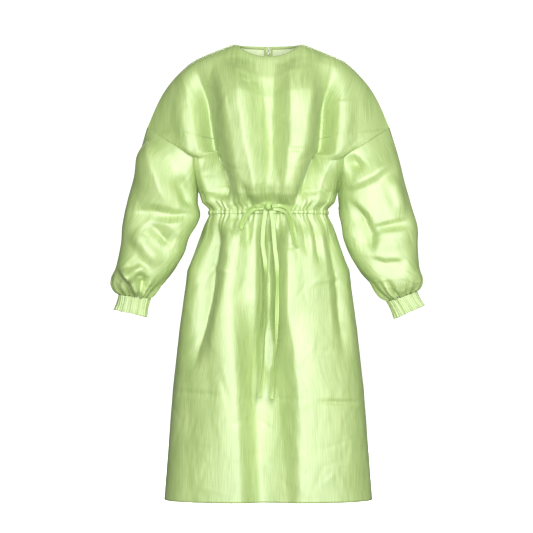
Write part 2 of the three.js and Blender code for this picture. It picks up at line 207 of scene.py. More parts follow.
def cloth_material(name, pale, deep, roughness, specular, sheen, grain=0.5, ior=1.5):
    """Woven lustrous cloth: upright slubs, a crumple and a fine weave from the piece's own UV map, which
    is in metres. The slubs, mixed with broader clouds, shift the colour between deep and pale; they shift
    the roughness too, and with the crumple and the weave they raise the surface a little."""
    material, tree, shader = new_material(name, pale, roughness, specular, sheen)
    shader.inputs["IOR"].default_value = ior
    where = add_node(tree, "ShaderNodeUVMap", uv_map="cloth").outputs["UV"]
    slubs = stretched_noise(tree, where, (420, 15, 1), detail=4)
    clouds = stretched_noise(tree, where, (16, 6, 1), detail=4)
    both = add_node(tree, "ShaderNodeMix", Factor=0.35)
    tree.links.new(slubs, both.inputs["A"])
    tree.links.new(clouds, both.inputs["B"])
    ramp = add_node(tree, "ShaderNodeValToRGB")
    for stop, position, colour in zip(ramp.color_ramp.elements, (-COLOUR_SWING, COLOUR_SWING), (deep, pale)):
        stop.position = 0.5 + position
        stop.color = (*colour, 1)
    tree.links.new(both.outputs["Result"], ramp.inputs["Fac"])
    tree.links.new(ramp.outputs["Color"], shader.inputs["Base Color"])
    rough = add_node(tree, "ShaderNodeMapRange")
    rough.inputs["To Min"].default_value = roughness - ROUGHNESS_SWING
    rough.inputs["To Max"].default_value = roughness + ROUGHNESS_SWING
    tree.links.new(slubs, rough.inputs["Value"])
    tree.links.new(rough.outputs["Result"], shader.inputs["Roughness"])
    crumple = stretched_noise(tree, where, (34, 17, 1), kind="RIDGED_MULTIFRACTAL")
    weave = add_node(tree, "ShaderNodeTexWave", Scale=260.0, Distortion=1.5, bands_direction="Y")
    tree.links.new(where, weave.inputs["Vector"])
    # Each bump: what raises the surface, how strongly, and by what height in metres.
    bumps = [(crumple, CRUMPLE, 0.0022), (slubs, grain, 0.0006), (weave.outputs["Fac"], grain * 0.4, 0.0002)]
    normal = None
    for height, strength, distance in bumps:
        bump = add_node(tree, "ShaderNodeBump", Strength=strength, Distance=distance)
        tree.links.new(height, bump.inputs["Height"])
        if normal:
            tree.links.new(normal, bump.inputs["Normal"])
        normal = bump.outputs["Normal"]
    tree.links.new(normal, shader.inputs["Normal"])
    return material


def metal_material(name, colour, roughness):
    """A plain metal of one colour."""
    material, _, shader = new_material(name, colour, roughness)
    shader.inputs["Metallic"].default_value = 1.0
    return material


# Name, pale and deep colour, roughness, specular level, sheen.
GOWN = cloth_material("gown_cloth", (0.385, 0.505, 0.165), (0.250, 0.375, 0.078), 0.63, 1.0, 0.0,
                      grain=0.9, ior=2.0)
REVERSE = cloth_material("cloth_reverse", (0.60, 0.68, 0.43), (0.50, 0.60, 0.33), 0.62, 0.4, 0.2)
TIE = cloth_material("tie_cloth", (0.41, 0.55, 0.20), (0.28, 0.42, 0.11), 0.55, 0.7, 0.0, ior=1.6)
BINDING = cloth_material("neck_binding", (0.36, 0.46, 0.19), (0.29, 0.38, 0.14), 0.7, 0.3, 0.1)
ELASTIC = cloth_material("elastic", (0.80, 0.80, 0.74), (0.70, 0.70, 0.64), 0.8, 0.3, 0.2)
TAPE = cloth_material("zip_tape", (0.36, 0.46, 0.20), (0.30, 0.39, 0.15), 0.8, 0.3, 0.1)
COIL, _, _ = new_material("zip_coil", (0.34, 0.42, 0.20), 0.35)
METAL = metal_material("zip_metal", (0.62, 0.62, 0.58), 0.28)

# ---- outline of the hanging gown ----
# Front and back depth of the body at each height, from the neck down.
DEPTHS = np.array([
    (0.000, 0.040, 0.0642), (-0.045, 0.071, 0.072), (-0.090, 0.093, 0.081), (-0.140, 0.107, 0.090),
    (-0.235, 0.117, 0.108), (-0.300, 0.119, 0.111), (-0.372, 0.112, 0.108), (-0.405, 0.103, 0.102),
    (WAIST_Z, 0.0965, 0.0985), (-0.455, 0.103, 0.104), (-0.486, 0.110, 0.111), (-0.572, 0.124, 0.124),
    (-0.717, 0.136, 0.138), (-0.886, 0.147, 0.148), (HEM_Z, 0.157, 0.158),
])
# The side edge of the panels from the neck to the outer end of the armhole seam: x and z.
SHOULDER_EDGE = [(0.086, 0.0), (0.140, -0.021), (0.191, -0.046), (0.238, -0.090), (0.272, -0.140),
                 (0.304, -0.212)]
SHOULDER_CENTRE_Z = -0.236  # where the row from the shoulder edge's end crosses the gown's middle
# The armhole seam runs from the shoulder edge's end to its turn and on to the underarm; the share of its
# rows above the turn, and half its depth from front to back.
ARMHOLE_TURN = np.array([0.189, -0.286])
UNDERARM = np.array([0.176, -0.372])
ARMHOLE_TURN_SHARE = 0.58
ARMHOLE_DEPTH = 0.077
# Half width of the body below the underarm: height and x.
SIDE_EDGE = [(-0.372, 0.174), (-0.400, 0.166), (WAIST_Z + 0.010, 0.150), (WAIST_Z, 0.1475),
             (WAIST_Z - 0.010, 0.150), (-0.455, 0.160), (-0.490, 0.173), (-0.572, 0.203), (-0.717, 0.223),
             (-0.862, 0.239), (HEM_Z, 0.261)]
NECK_DIP = {"front": 0.036, "back": 0.003}
FLATNESS = 2.9  # 2 would make every section an ellipse; more makes its front and back flatter
NECK_DIP_POWER = 2.3  # how much of a row's dip towards its centre is close to the centre

SHOULDER_ROWS = 68
ARMHOLE_ROWS = 60
BODICE_ROWS = 16
CASING_ROWS = 6
SKIRT_ROWS = 154
COLUMNS = 160


def edge_rows():
    """Side edge point (x, z), edge depth and centre heights (front and back) of every row."""
    t = np.linspace(0, 1, SHOULDER_ROWS + 1)
    s = np.linspace(0, 1, ARMHOLE_ROWS + 1)[1:]
    top = np.array(SHOULDER_EDGE[-1])
    turn_at = ARMHOLE_TURN_SHARE
    to_turn = top + (ARMHOLE_TURN - top) * np.minimum(s / turn_at, 1)[:, None]
    past_turn = np.clip((s - turn_at) / (1 - turn_at), 0, 1)[:, None]
    to_underarm = ARMHOLE_TURN + (UNDERARM - ARMHOLE_TURN) * past_turn
    armhole = np.where((s < turn_at)[:, None], to_turn, to_underarm)
    casing_top, casing_bottom = WAIST_Z + CASING_HEIGHT / 2, WAIST_Z - CASING_HEIGHT / 2
    below = np.concatenate([
        np.linspace(UNDERARM[1], casing_top, BODICE_ROWS + 1)[1:],
        np.linspace(casing_top, casing_bottom, CASING_ROWS + 1)[1:],
        np.linspace(casing_bottom, HEM_Z, SKIRT_ROWS + 1)[1:],
    ])
    heights, widths = np.array(SIDE_EDGE)[::-1].T
    side = np.stack([np.interp(below, heights, widths), below], 1)
    edge = np.concatenate([through(SHOULDER_EDGE, t), armhole, side])
    armhole_depth = ARMHOLE_DEPTH * np.sin(np.pi * s) ** 0.8
    depth = np.concatenate([np.zeros(len(t)), armhole_depth, np.zeros(len(below))])
    at_armhole = SHOULDER_CENTRE_Z + (UNDERARM[1] - SHOULDER_CENTRE_Z) * s
    centres = {part: np.concatenate([-dip + (SHOULDER_CENTRE_Z + dip) * t, at_armhole, below])
               for part, dip in NECK_DIP.items()}
    return edge, depth, centres


EDGE, EDGE_DEPTH, CENTRES = edge_rows()
ARMHOLE = slice(SHOULDER_ROWS, SHOULDER_ROWS + ARMHOLE_ROWS + 1)
WAIST_ROW = SHOULDER_ROWS + ARMHOLE_ROWS + BODICE_ROWS


def panel_grid(part):
    """The front or back surface before its folds. Each row runs from the left edge to the right: x goes
    as the sine of an angle, the height dips from the edge's to the centre's, and the depth is
    (1 - |sine|^n)^(1/n), a flattened ellipse, which opens towards a plain arch over chest and waist."""
    angle = np.linspace(-np.pi / 2, np.pi / 2, COLUMNS + 1)[None, :]
    x = EDGE[:, :1] * np.sin(angle)
    lift = np.abs(np.sin(angle)) ** NECK_DIP_POWER
    centre = CENTRES[part][:, None]
    z = centre + (EDGE[:, 1:] - centre) * lift
    heights = DEPTHS[::-1, 0]
    middle = np.interp(CENTRES[part], heights, DEPTHS[::-1, 1 if part == "front" else 2])[:, None]
    edge = EDGE_DEPTH[:, None]
    across = np.abs(np.sin(angle)) ** FLATNESS
    open_share = ease((-0.08 - centre) / 0.20) * ease((centre + 0.40) / 0.06)
    depth = edge + (middle - edge) * (1 - across) ** (1 / FLATNESS + (1 - 1 / FLATNESS) * open_share)
    y = -depth if part == "front" else depth
    return np.stack(np.broadcast_arrays(x, y, z), -1)


# Outer and inner outline of each sleeve from the armhole to the cuff, with its half depth and how far
# forward it lies: outer x, outer z, inner x, inner z, half depth, forward.
SLEEVE_OUTLINE = {
    "left": [
        (0.304, -0.212, 0.176, -0.372, 0.077, 0.000), (0.322, -0.272, 0.177, -0.400, 0.078, 0.003),
        (0.338, -0.337, 0.172, -0.430, 0.080, 0.006), (0.356, -0.405, 0.181, -0.457, 0.080, 0.009),
        (0.366, -0.457, 0.199, -0.488, 0.079, 0.012), (0.370, -0.503, 0.212, -0.527, 0.077, 0.015),
        (0.381, -0.557, 0.235, -0.566, 0.073, 0.018), (0.393, -0.588, 0.258, -0.597, 0.066, 0.021),
        (0.390, -0.612, 0.277, -0.618, 0.055, 0.023), (0.372, -0.631, 0.298, -0.641, 0.035, 0.025),
    ],
    "right": [
        (0.304, -0.212, 0.176, -0.372, 0.077, 0.000), (0.325, -0.278, 0.178, -0.402, 0.078, 0.003),
        (0.342, -0.345, 0.178, -0.428, 0.080, 0.006), (0.360, -0.410, 0.184, -0.458, 0.080, 0.009),
        (0.374, -0.462, 0.190, -0.492, 0.079, 0.012), (0.375, -0.510, 0.206, -0.532, 0.077, 0.015),
        (0.379, -0.560, 0.229, -0.570, 0.073, 0.018), (0.386, -0.588, 0.252, -0.599, 0.066, 0.021),
        (0.383, -0.606, 0.270, -0.624, 0.055, 0.023), (0.368, -0.624, 0.299, -0.648, 0.035, 0.025),
    ],
}
SLEEVE_ROWS = 104
SLEEVE_SQUARENESS = 0.26  # how much boxier than an ellipse a sleeve is half way down
SEAM_PULL = 0.16  # share of the sleeve's length over which it leaves the armhole seam's own shape


def sleeve_grid(name, side, front, back):
    """A sleeve as rings from the armhole seam to the cuff. A ring is a superellipse between the outer and
    the inner outline; near the armhole it is drawn to the seam edge that the panels share with it."""
    column = 0 if side < 0 else -1
    seam = np.concatenate([front[ARMHOLE, column], back[ARMHOLE, column][-2:0:-1]])
    front_turn = np.linspace(0, np.pi, ARMHOLE_ROWS + 1)
    back_turn = np.linspace(np.pi, 2 * np.pi, ARMHOLE_ROWS + 1)[1:-1]
    turn = np.concatenate([front_turn, back_turn])
    t = np.linspace(0, 1, SLEEVE_ROWS + 1)
    outline = through(SLEEVE_OUTLINE[name], t)
    outer, inner, depth, forward = outline[:, 0:2], outline[:, 2:4], outline[:, 4], outline[:, 5]
    middle, reach = (outer + inner) / 2, (outer - inner) / 2
    power = 1 - SLEEVE_SQUARENESS * np.sin(np.pi * t)[:, None] ** 0.7
    flat = middle[:, None] + reach[:, None] * signed_power(np.cos(turn), power)[..., None]
    y = -forward[:, None] - depth[:, None] * signed_power(np.sin(turn), power)
    rings = np.stack([side * flat[..., 0], y, flat[..., 1]], -1)
    pull = (1 - ease(t / SEAM_PULL))[:, None, None]
    rings += (seam - rings[0])[None] * pull
    return rings


# ---- the camera, the lights and the stage ----
VIEW_WIDTH = 1.3325  # what the view spans at the front of the gown
VIEW_MIDDLE = (-0.0045, -0.5605)  # x and z
CAMERA_DISTANCE = 7.1
FRONT_REACH = 0.05  # how far in front of the origin the view width is measured
SENSOR_WIDTH = 36


def add_camera():
    """A long lens in front of the gown, level with its middle."""
    data = bpy.data.cameras.new("camera")
    data.sensor_width = SENSOR_WIDTH
    data.lens = SENSOR_WIDTH * (CAMERA_DISTANCE - FRONT_REACH) / VIEW_WIDTH
    camera = bpy.data.objects.new("camera", data)
    camera.location = (VIEW_MIDDLE[0], -CAMERA_DISTANCE, VIEW_MIDDLE[1])
    camera.rotation_euler = (np.pi / 2, 0, 0)
    bpy.context.scene.collection.objects.link(camera)
    bpy.context.scene.camera = camera


def add_softbox(name, place, target, size, power):
    """A rectangular lamp at a place, turned to its target."""
    data = bpy.data.lights.new(name, "AREA")
    data.shape = "RECTANGLE"
    data.size, data.size_y = size
    data.energy = power
    lamp = bpy.data.objects.new(name, data)
    lamp.location = place
    direction = Vector(target) - Vector(place)
    lamp.rotation_euler = direction.to_track_quat("-Z", "Y").to_euler()
    bpy.context.scene.collection.objects.link(lamp)


def add_stage():
    """A white floor that curves up into a backdrop behind the gown: a flat run, a quarter circle and an
    upright, all drawn out sideways."""
    floor_z, front_y, back_y, bend, height, half_width = -1.32, -7.5, 8.6, 1.6, 5.0, 6.0
    turn = np.linspace(0, np.pi / 2, 24)
    curve = np.stack([back_y - bend + bend * np.sin(turn), floor_z + bend - bend * np.cos(turn)], 1)
    profile = np.concatenate([[(front_y, floor_z)], curve, [(back_y, floor_z + height)]])
    x = np.linspace(-half_width, half_width, 5)[None]
    points = np.stack(np.broadcast_arrays(x, profile[:, :1], profile[:, 1:]), -1)
    material, _, shader = new_material("backdrop_white", (0.86, 0.86, 0.86), 0.9, 0.1)
    shader.inputs["Emission Color"].default_value = (1, 1, 1, 1)
    shader.inputs["Emission Strength"].default_value = 0.9
    backdrop = make_piece("backdrop", points, grid_faces(*points.shape[:2])[:, ::-1], [material])
    backdrop.visible_diffuse = backdrop.visible_glossy = False


def add_world():
    """An even, slightly green surround, as light that the cloth throws on itself."""
    world = bpy.data.worlds.new("studio")
    world.use_nodes = True
    background = world.node_tree.nodes["Background"]
    background.inputs["Color"].default_value = (0.90, 1.0, 0.74, 1)
    background.inputs["Strength"].default_value = 0.23
    bpy.context.scene.world = world
    bpy.context.scene.view_settings.view_transform = "Standard"


add_camera()
add_world()
add_stage()
# Name, place, target, size in metres, power in watts.
add_softbox("key", (0.15, -4.5, 0.1), (0, 0, -0.55), (2.2, 2.2), 303)
add_softbox("right", (2.8, -3.0, 0.4), (0, 0, -0.5), (0.8, 1.6), 36)
add_softbox("behind", (0, 4.6, 2.2), (0, 0, -0.5), (2.4, 1.4), 330)

# ---- folds laid into the cloth before it hangs ----
# Each fold: its path over the cloth as (x, z), the widths of its two flanks, its height (a valley is
# negative), and whether its line is sharp. The second flank is the one on the right of a path that runs
# down, or above a path that runs to the right.
FRONT_FOLDS = [
    # bodice: the valley beside each armhole, the two bellies, and the middle
    ([(-0.186, -0.050), (-0.166, -0.160), (-0.150, -0.243), (-0.138, -0.318), (-0.100, -0.408)],
     0.030, 0.060, -0.046, "sharp"),
    ([(-0.224, -0.100), (-0.214, -0.190), (-0.196, -0.290), (-0.166, -0.352), (-0.140, -0.412)],
     0.036, 0.022, 0.006, "soft"),
    ([(-0.130, -0.060), (-0.118, -0.200), (-0.094, -0.320), (-0.070, -0.412)], 0.060, 0.055, 0.016, "soft"),
    ([(-0.086, -0.040), (-0.058, -0.243), (-0.023, -0.405)], 0.060, 0.060, 0.046, "sharp"),
    ([(0.056, -0.036), (0.054, -0.243), (0.034, -0.405)], 0.042, 0.095, 0.036, "sharp"),
    ([(0.105, -0.060), (0.098, -0.200), (0.078, -0.320), (0.055, -0.412)], 0.055, 0.058, 0.016, "soft"),
    ([(0.166, -0.060), (0.150, -0.160), (0.138, -0.268), (0.104, -0.343), (0.074, -0.408)],
     0.050, 0.028, -0.046, "sharp"),
    ([(0.202, -0.110), (0.190, -0.200), (0.178, -0.290), (0.150, -0.360), (0.120, -0.412)],
     0.022, 0.036, 0.006, "soft"),
    ([(0.092, -0.330), (0.062, -0.412)], 0.010, 0.014, -0.009, "sharp"),
    ([(-0.062, -0.340), (-0.042, -0.412)], 0.012, 0.010, -0.008, "sharp"),
    # skirt
    ([(-0.132, -0.440), (-0.146, -0.605), (-0.172, -0.720), (-0.186, -0.820)], 0.050, 0.040, -0.032, "sharp"),
    ([(-0.082, -0.440), (-0.104, -0.620), (-0.090, -0.820), (-0.056, -1.260)], 0.060, 0.055, 0.018, "soft"),
    ([(-0.114, -0.620), (-0.102, -0.900), (-0.094, -1.260)], 0.100, 0.034, 0.016, "sharp"),
    ([(0.003, -0.440), (0.003, -0.650), (0.000, -0.880)], 0.034, 0.042, -0.034, "sharp"),
    ([(-0.014, -0.640), (-0.020, -0.900), (-0.030, -1.260)], 0.075, 0.130, -0.024, "soft"),
    ([(0.050, -0.440), (0.050, -0.680), (0.076, -0.860), (0.114, -1.260)], 0.052, 0.140, 0.022, "sharp"),
    ([(0.148, -0.440), (0.176, -0.620), (0.190, -0.800)], 0.026, 0.022, -0.011, "sharp"),
    ([(-0.050, -0.436), (-0.056, -0.520)], 0.012, 0.012, -0.008, "sharp"),
    ([(0.082, -0.436), (0.094, -0.540)], 0.014, 0.012, -0.008, "sharp"),
    ([(0.112, -0.436), (0.124, -0.560)], 0.012, 0.014, -0.009, "sharp"),
]
BACK_FOLDS = [
    ([(-0.180, -0.080), (-0.168, -0.250), (-0.110, -0.412)], 0.016, 0.040, -0.026, "sharp"),
    ([(-0.110, -0.120), (-0.090, -0.300), (-0.060, -0.412)], 0.040, 0.030, 0.014, "soft"),
    ([(-0.072, -0.230), (-0.050, -0.340), (-0.030, -0.412)], 0.024, 0.020, -0.014, "sharp"),
    ([(0.072, -0.200), (0.052, -0.330), (0.030, -0.412)], 0.020, 0.024, -0.014, "sharp"),
    ([(0.120, -0.130), (0.100, -0.300), (0.066, -0.412)], 0.030, 0.040, 0.014, "soft"),
    ([(0.176, -0.070), (0.160, -0.240), (0.112, -0.412)], 0.040, 0.016, -0.026, "sharp"),
    ([(-0.120, -0.440), (-0.160, -0.760), (-0.175, -1.260)], 0.050, 0.040, 0.016, "soft"),
    ([(-0.080, -0.440), (-0.110, -0.700), (-0.122, -1.020)], 0.030, 0.024, -0.020, "sharp"),
    ([(-0.030, -0.440), (-0.050, -0.800), (-0.060, -1.260)], 0.040, 0.050, 0.018, "soft"),
    ([(0.012, -0.440), (0.014, -0.720), (0.010, -1.000)], 0.024, 0.030, -0.020, "sharp"),
    ([(0.055, -0.440), (0.082, -0.800), (0.090, -1.260)], 0.050, 0.040, 0.018, "sharp"),
    ([(0.098, -0.440), (0.135, -0.640), (0.150, -0.900)], 0.030, 0.024, -0.018, "sharp"),
    ([(0.130, -0.440), (0.180, -0.800), (0.196, -1.260)], 0.040, 0.060, 0.016, "soft"),
]
# Folds on the front of each sleeve, in the same terms, and folds of its back, mirrored on the right.
SLEEVE_FOLDS = {
    "left": [
        ([(-0.300, -0.225), (-0.288, -0.310), (-0.268, -0.375), (-0.240, -0.425)],
         0.060, 0.046, 0.017, "sharp"),
        ([(-0.352, -0.428), (-0.290, -0.420), (-0.235, -0.432), (-0.182, -0.430)],
         0.050, 0.014, -0.009, "sharp"),
        ([(-0.310, -0.452), (-0.250, -0.456), (-0.190, -0.446)], 0.060, 0.018, 0.008, "sharp"),
        ([(-0.300, -0.448), (-0.268, -0.480), (-0.238, -0.512)], 0.020, 0.030, -0.013, "sharp"),
        ([(-0.340, -0.470), (-0.300, -0.520), (-0.270, -0.560)], 0.030, 0.030, 0.009, "soft"),
        ([(-0.225, -0.330), (-0.205, -0.380), (-0.195, -0.420)], 0.030, 0.020, -0.008, "soft"),
        ([(-0.372, -0.560), (-0.345, -0.585), (-0.318, -0.570), (-0.300, -0.600)],
         0.016, 0.020, 0.015, "soft"),
        ([(-0.356, -0.566), (-0.336, -0.600), (-0.318, -0.634)], 0.014, 0.018, 0.014, "sharp"),
        ([(-0.326, -0.560), (-0.310, -0.590), (-0.322, -0.625)], 0.018, 0.016, -0.013, "sharp"),
    ],
    "right": [
        ([(0.166, -0.300), (0.190, -0.262), (0.222, -0.262)], 0.018, 0.016, 0.008, "sharp"),
        ([(0.186, -0.268), (0.216, -0.296), (0.238, -0.322)], 0.034, 0.014, -0.015, "sharp"),
        ([(0.186, -0.348), (0.215, -0.356), (0.262, -0.334), (0.310, -0.296)], 0.018, 0.046, 0.010, "sharp"),
        ([(0.200, -0.395), (0.238, -0.440), (0.258, -0.478), (0.256, -0.530)], 0.050, 0.014, -0.017, "sharp"),
        ([(0.262, -0.466), (0.305, -0.455), (0.356, -0.446)], 0.040, 0.010, -0.007, "sharp"),
        ([(0.262, -0.482), (0.310, -0.476), (0.360, -0.470)], 0.050, 0.014, 0.005, "sharp"),
        ([(0.250, -0.540), (0.290, -0.552), (0.345, -0.548)], 0.040, 0.010, -0.006, "sharp"),
        ([(0.300, -0.330), (0.318, -0.390), (0.330, -0.440)], 0.034, 0.030, 0.009, "soft"),
    ],
}
SLEEVE_BACK_FOLDS = [
    ([(0.286, -0.240), (0.280, -0.340), (0.300, -0.440)], 0.040, 0.036, 0.013, "soft"),
    ([(0.240, -0.300), (0.230, -0.400), (0.250, -0.480)], 0.024, 0.020, -0.013, "sharp"),
    ([(0.200, -0.440), (0.270, -0.470), (0.350, -0.460)], 0.026, 0.020, -0.012, "sharp"),
    ([(0.240, -0.540), (0.300, -0.530), (0.360, -0.540)], 0.020, 0.024, 0.010, "soft"),
]


def faded(distance, whole, end):
    """How much of a fold is left near one end of its path: it dies out slowly in open cloth and quickly
    at the waist, where it runs into the gathers."""
    at_waist = abs(end[1] - WAIST_Z) < 0.05 and abs(end[0]) < 0.16
    reach = min(0.4 * whole, 0.07 if at_waist else 0.15)
    return ease(distance / reach + 0.15)


FOLD_DEPTH = 1.45  # every fold's height is multiplied by this
FOLD_TIP = 0.0014  # radius that a sharp fold's line is rounded by
FOLD_POWER = 1.2  # 1 would make a sharp fold's flanks straight; more hollows them


def fold_heights(x, z, folds):
    """Sum of the folds at each point. A fold is highest on its path and falls off over the flank it is
    on, by (1 - t)^power with the tip rounded if it is sharp, or (1 + cos(pi t)) / 2 if it is soft, where t
    is the distance over the flank's width. It fades in and out at the ends of its path."""
    total = np.zeros(np.broadcast(x, z).shape)
    for path, before, after, height, kind in folds:
        path = np.array(path)
        steps = np.diff(path, axis=0)
        lengths = np.hypot(*steps.T)
        whole = lengths.sum()
        nearest = np.full(total.shape, np.inf)
        signed = np.zeros(total.shape)
        along = np.zeros(total.shape)
        done = 0
        for start, step, length in zip(path, steps, lengths):
            u = step / length
            dx, dz = x - start[0], z - start[1]
            at = np.clip(dx * u[0] + dz * u[1], 0, length)
            off = np.hypot(dx - at * u[0], dz - at * u[1])
            closer = off < nearest
            nearest = np.where(closer, off, nearest)
            signed = np.where(closer, dz * u[0] - dx * u[1], signed)
            along = np.where(closer, done + at, along)
            done += length
        width = np.where(signed > 0, after, before)
        t = nearest / width
        if kind == "sharp":
            tip = FOLD_TIP / width
            drop = np.maximum(1 + tip - np.hypot(t, tip), 0) ** FOLD_POWER
        else:
            drop = 0.5 + 0.5 * np.cos(np.pi * np.minimum(t, 1))
        left = faded(along, whole, path[0]) * faded(whole - along, whole, path[-1])
        total += FOLD_DEPTH * height * drop * left
    return total


def gathers(angle, wrinkle):
    """A wrinkled edge: the sum of strength * cos(k * angle + phase) over the wave numbers k, divided by the
    root of their count."""
    waves, seeds = wrinkle
    total = 0
    for k, (phase, strength) in zip(waves, seeds):
        total = total + strength * np.cos(k * angle + phase)
    return total / np.sqrt(len(waves))


def wave_seeds(waves):
    """A phase and a strength for each wave number."""
    count = len(waves)
    return np.stack([RANDOM.uniform(0, 2 * np.pi, count), RANDOM.uniform(0.5, 1.0, count)], 1)


# Wrinkles: each one's wave numbers per turn round the body, sleeve or cuff, with their seeds.
RANDOM = np.random.default_rng(11)
WIDE, FINE, PLEAT, RUCHE, WAVER, CUFF, FRAY = ((waves, wave_seeds(waves)) for waves in (
    [14, 17, 19, 23, 26],  # wide gathers at the waist
    [44, 51, 57, 63, 70],  # fine gathers there
    [9, 11, 14, 17, 21],  # pleats of a sleeve into its cuff
    [88, 103, 121, 140, 167],  # ruches of the casing
    [9, 14, 21, 33],  # the casing's wavering up and down
    [5, 9, 13, 17, 22],  # pleats of a cuff
    [31, 43, 57, 71],  # a cuff's uneven edge
))

# How far the folds may stand out: depths below the neck, and heights there; and how far they may go in.
LIMIT_DEPTHS = [0.30, 0.50, 0.80, 1.14]
LIMIT_HEIGHTS = [0.054, 0.040, 0.024, 0.011]
DEEPEST_FOLD = -0.062
# Height of the gathers at the casing, and the distance over which they die out by a factor e.
WIDE_GATHERS = (0.0050, 0.08)
FINE_GATHERS = (0.0035, 0.035)
CUFF_PLEAT_HEIGHT = 0.0065  # of the pleats with which a sleeve runs into its cuff


def lay_folds(grid, part):
    """Moves the panel along its normals by its folds and by the gathers at the casing. A fold of height h
    stands out by limit * tanh(h / limit); neither moves the side edges or the neck."""
    x, z = grid[..., 0], grid[..., 2]
    folds = fold_heights(x, z, FRONT_FOLDS if part == "front" else BACK_FOLDS)
    angle = np.linspace(0, np.pi, grid.shape[1])[None, :] + (0 if part == "front" else np.pi)
    from_casing = np.abs(z - WAIST_Z)
    wide, fine = (gathers(angle, wrinkle) * height * np.exp(-from_casing / reach)
                  for wrinkle, (height, reach) in ((WIDE, WIDE_GATHERS), (FINE, FINE_GATHERS)))
    edge = np.sin(np.linspace(0, np.pi, grid.shape[1]))[None, :] ** 0.5
    limit = np.interp(-z, LIMIT_DEPTHS, LIMIT_HEIGHTS)
    folds = np.where(folds > 0, limit * np.tanh(folds / limit), np.maximum(folds, DEEPEST_FOLD))
    height = (folds + wide + fine) * edge * ease(np.arange(len(grid)) / 12.0)[:, None]
    if part == "back":
        height = height * away_from_zip(grid, 0.012, 0.03, 0.05)
    return grid + outward(grid) * height[..., None]


def away_from_zip(grid, half_strip, beside_reach, below_reach):
    """0 on the strip of the back that the zip is sewn to, rising to 1 beside and below it."""
    beside = ease((np.abs(grid[..., 0]) - half_strip) / beside_reach)
    below = ease((ZIP_BOTTOM_Z - grid[..., 2]) / below_reach)
    return np.maximum(beside, below)


def lay_sleeve_folds(rings, name, side):
    """Moves a sleeve along its normals by its folds, those of the front and the back each on their own
    half of the ring, and pleats it where it runs into the cuff."""
    round_share = np.linspace(0, 1, rings.shape[1] + 1)[None, :-1]
    down = np.linspace(0, 1, rings.shape[0])[:, None]
    angle = 2 * np.pi * round_share
    x, z = rings[..., 0], rings[..., 2]
    on_front = ease(np.sin(angle) * 2.5)
    on_back = ease(-np.sin(angle) * 2.5)
    heights = fold_heights(x, z, SLEEVE_FOLDS[name]) * on_front
    heights = heights + fold_heights(side * x, z, SLEEVE_BACK_FOLDS) * on_back
    into_cuff = ease((down - 0.72) / 0.24) * (1 - 0.5 * ease((down - 0.93) / 0.07))
    heights = heights + gathers(angle, PLEAT) * CUFF_PLEAT_HEIGHT * into_cuff
    heights = heights * ease(down / 0.06)
    return rings + outward(rings, closed=True) * heights[..., None]


# ---- the hanging of the cloth ----
def joined(grids, closed):
    """All grids as one mesh: points that two grids share at a seam become one point. Returns the points,
    the quads and, for each grid, which point each of its places is."""
    points = np.concatenate([grid.reshape(-1, 3) for grid in grids])
    _, first, which = np.unique(np.round(points, 6), axis=0, return_index=True, return_inverse=True)
    which = which.reshape(-1)
    faces, places, start = [], [], 0
    for grid, wrap in zip(grids, closed):
        count = grid.shape[0] * grid.shape[1]
        place = which[start:start + count].reshape(grid.shape[:2])
        faces.append(place.reshape(-1)[grid_faces(*grid.shape[:2], closed=wrap)])
        places.append(place)
        start += count
    return points[first], np.concatenate(faces), places


HANG_FRAMES = 24
SWELL = 0.012  # how much larger than its shape the cloth is, so that it buckles


def hang(points, faces, hold):
    """Hangs the cloth: Blender's cloth runs for a few frames on cloth that is a little larger than its
    shape, while each point is held towards its place by its hold. Returns the points."""
    piece = make_piece("hanging_cloth", points, faces, [])
    group = piece.vertex_groups.new(name="hold")
    for amount in np.unique(hold):
        group.add(np.nonzero(hold == amount)[0].tolist(), float(amount), "REPLACE")
    cloth = piece.modifiers.new("cloth", "CLOTH")
    settings = cloth.settings
    settings.quality = 6
    settings.mass = 0.2
    settings.tension_stiffness = settings.compression_stiffness = 20
    settings.shear_stiffness = 12
    settings.bending_stiffness = 25
    settings.air_damping = 2
    settings.shrink_min = settings.shrink_max = -SWELL
    settings.vertex_group_mass = "hold"
    settings.pin_stiffness = 12
    cloth.collision_settings.use_collision = False
    scene = bpy.context.scene
    scene.frame_start, scene.frame_end = 1, HANG_FRAMES
    cloth.point_cache.frame_start, cloth.point_cache.frame_end = 1, HANG_FRAMES
    for number in range(1, HANG_FRAMES + 1):
        scene.frame_set(number)
    shaped = piece.evaluated_get(bpy.context.evaluated_depsgraph_get())
    result = np.empty(len(points) * 3, np.float32)
    shaped.data.vertices.foreach_get("co", result)
    scene.frame_set(1)
    bpy.data.objects.remove(piece)
    return result.reshape(-1, 3).astype(float)


def blurred(moved, closed=False):
    """Evens out how far neighbours moved: each place takes half its own and a quarter of each neighbour's
    movement, first down and then across."""
    for axis in (0, 1):
        if closed and axis == 1:
            around = np.roll(moved, 1, 1) + np.roll(moved, -1, 1)
        else:
            edge = [(0, 0)] * 3
            edge[axis] = (1, 1)
            padded = np.pad(moved, edge, mode="edge")
            size = moved.shape[axis]
            around = padded.take(range(size), axis) + padded.take(range(2, size + 2), axis)
        moved = moved / 2 + around / 4
    return moved


def cloth_uv(grid):
    """Distances along the cloth in metres: across from the middle of each row, and down."""
    across = np.linalg.norm(np.diff(grid, axis=1), axis=2)
    u = np.concatenate([np.zeros((len(grid), 1)), np.cumsum(across, 1)], 1)
    u -= u[:, -1:] / 2
    down = np.linalg.norm(np.diff(grid, axis=0), axis=2).mean(1)
    v = -np.concatenate([[0], np.cumsum(down)])
    return np.stack([u, np.broadcast_to(v[:, None], u.shape)], -1)


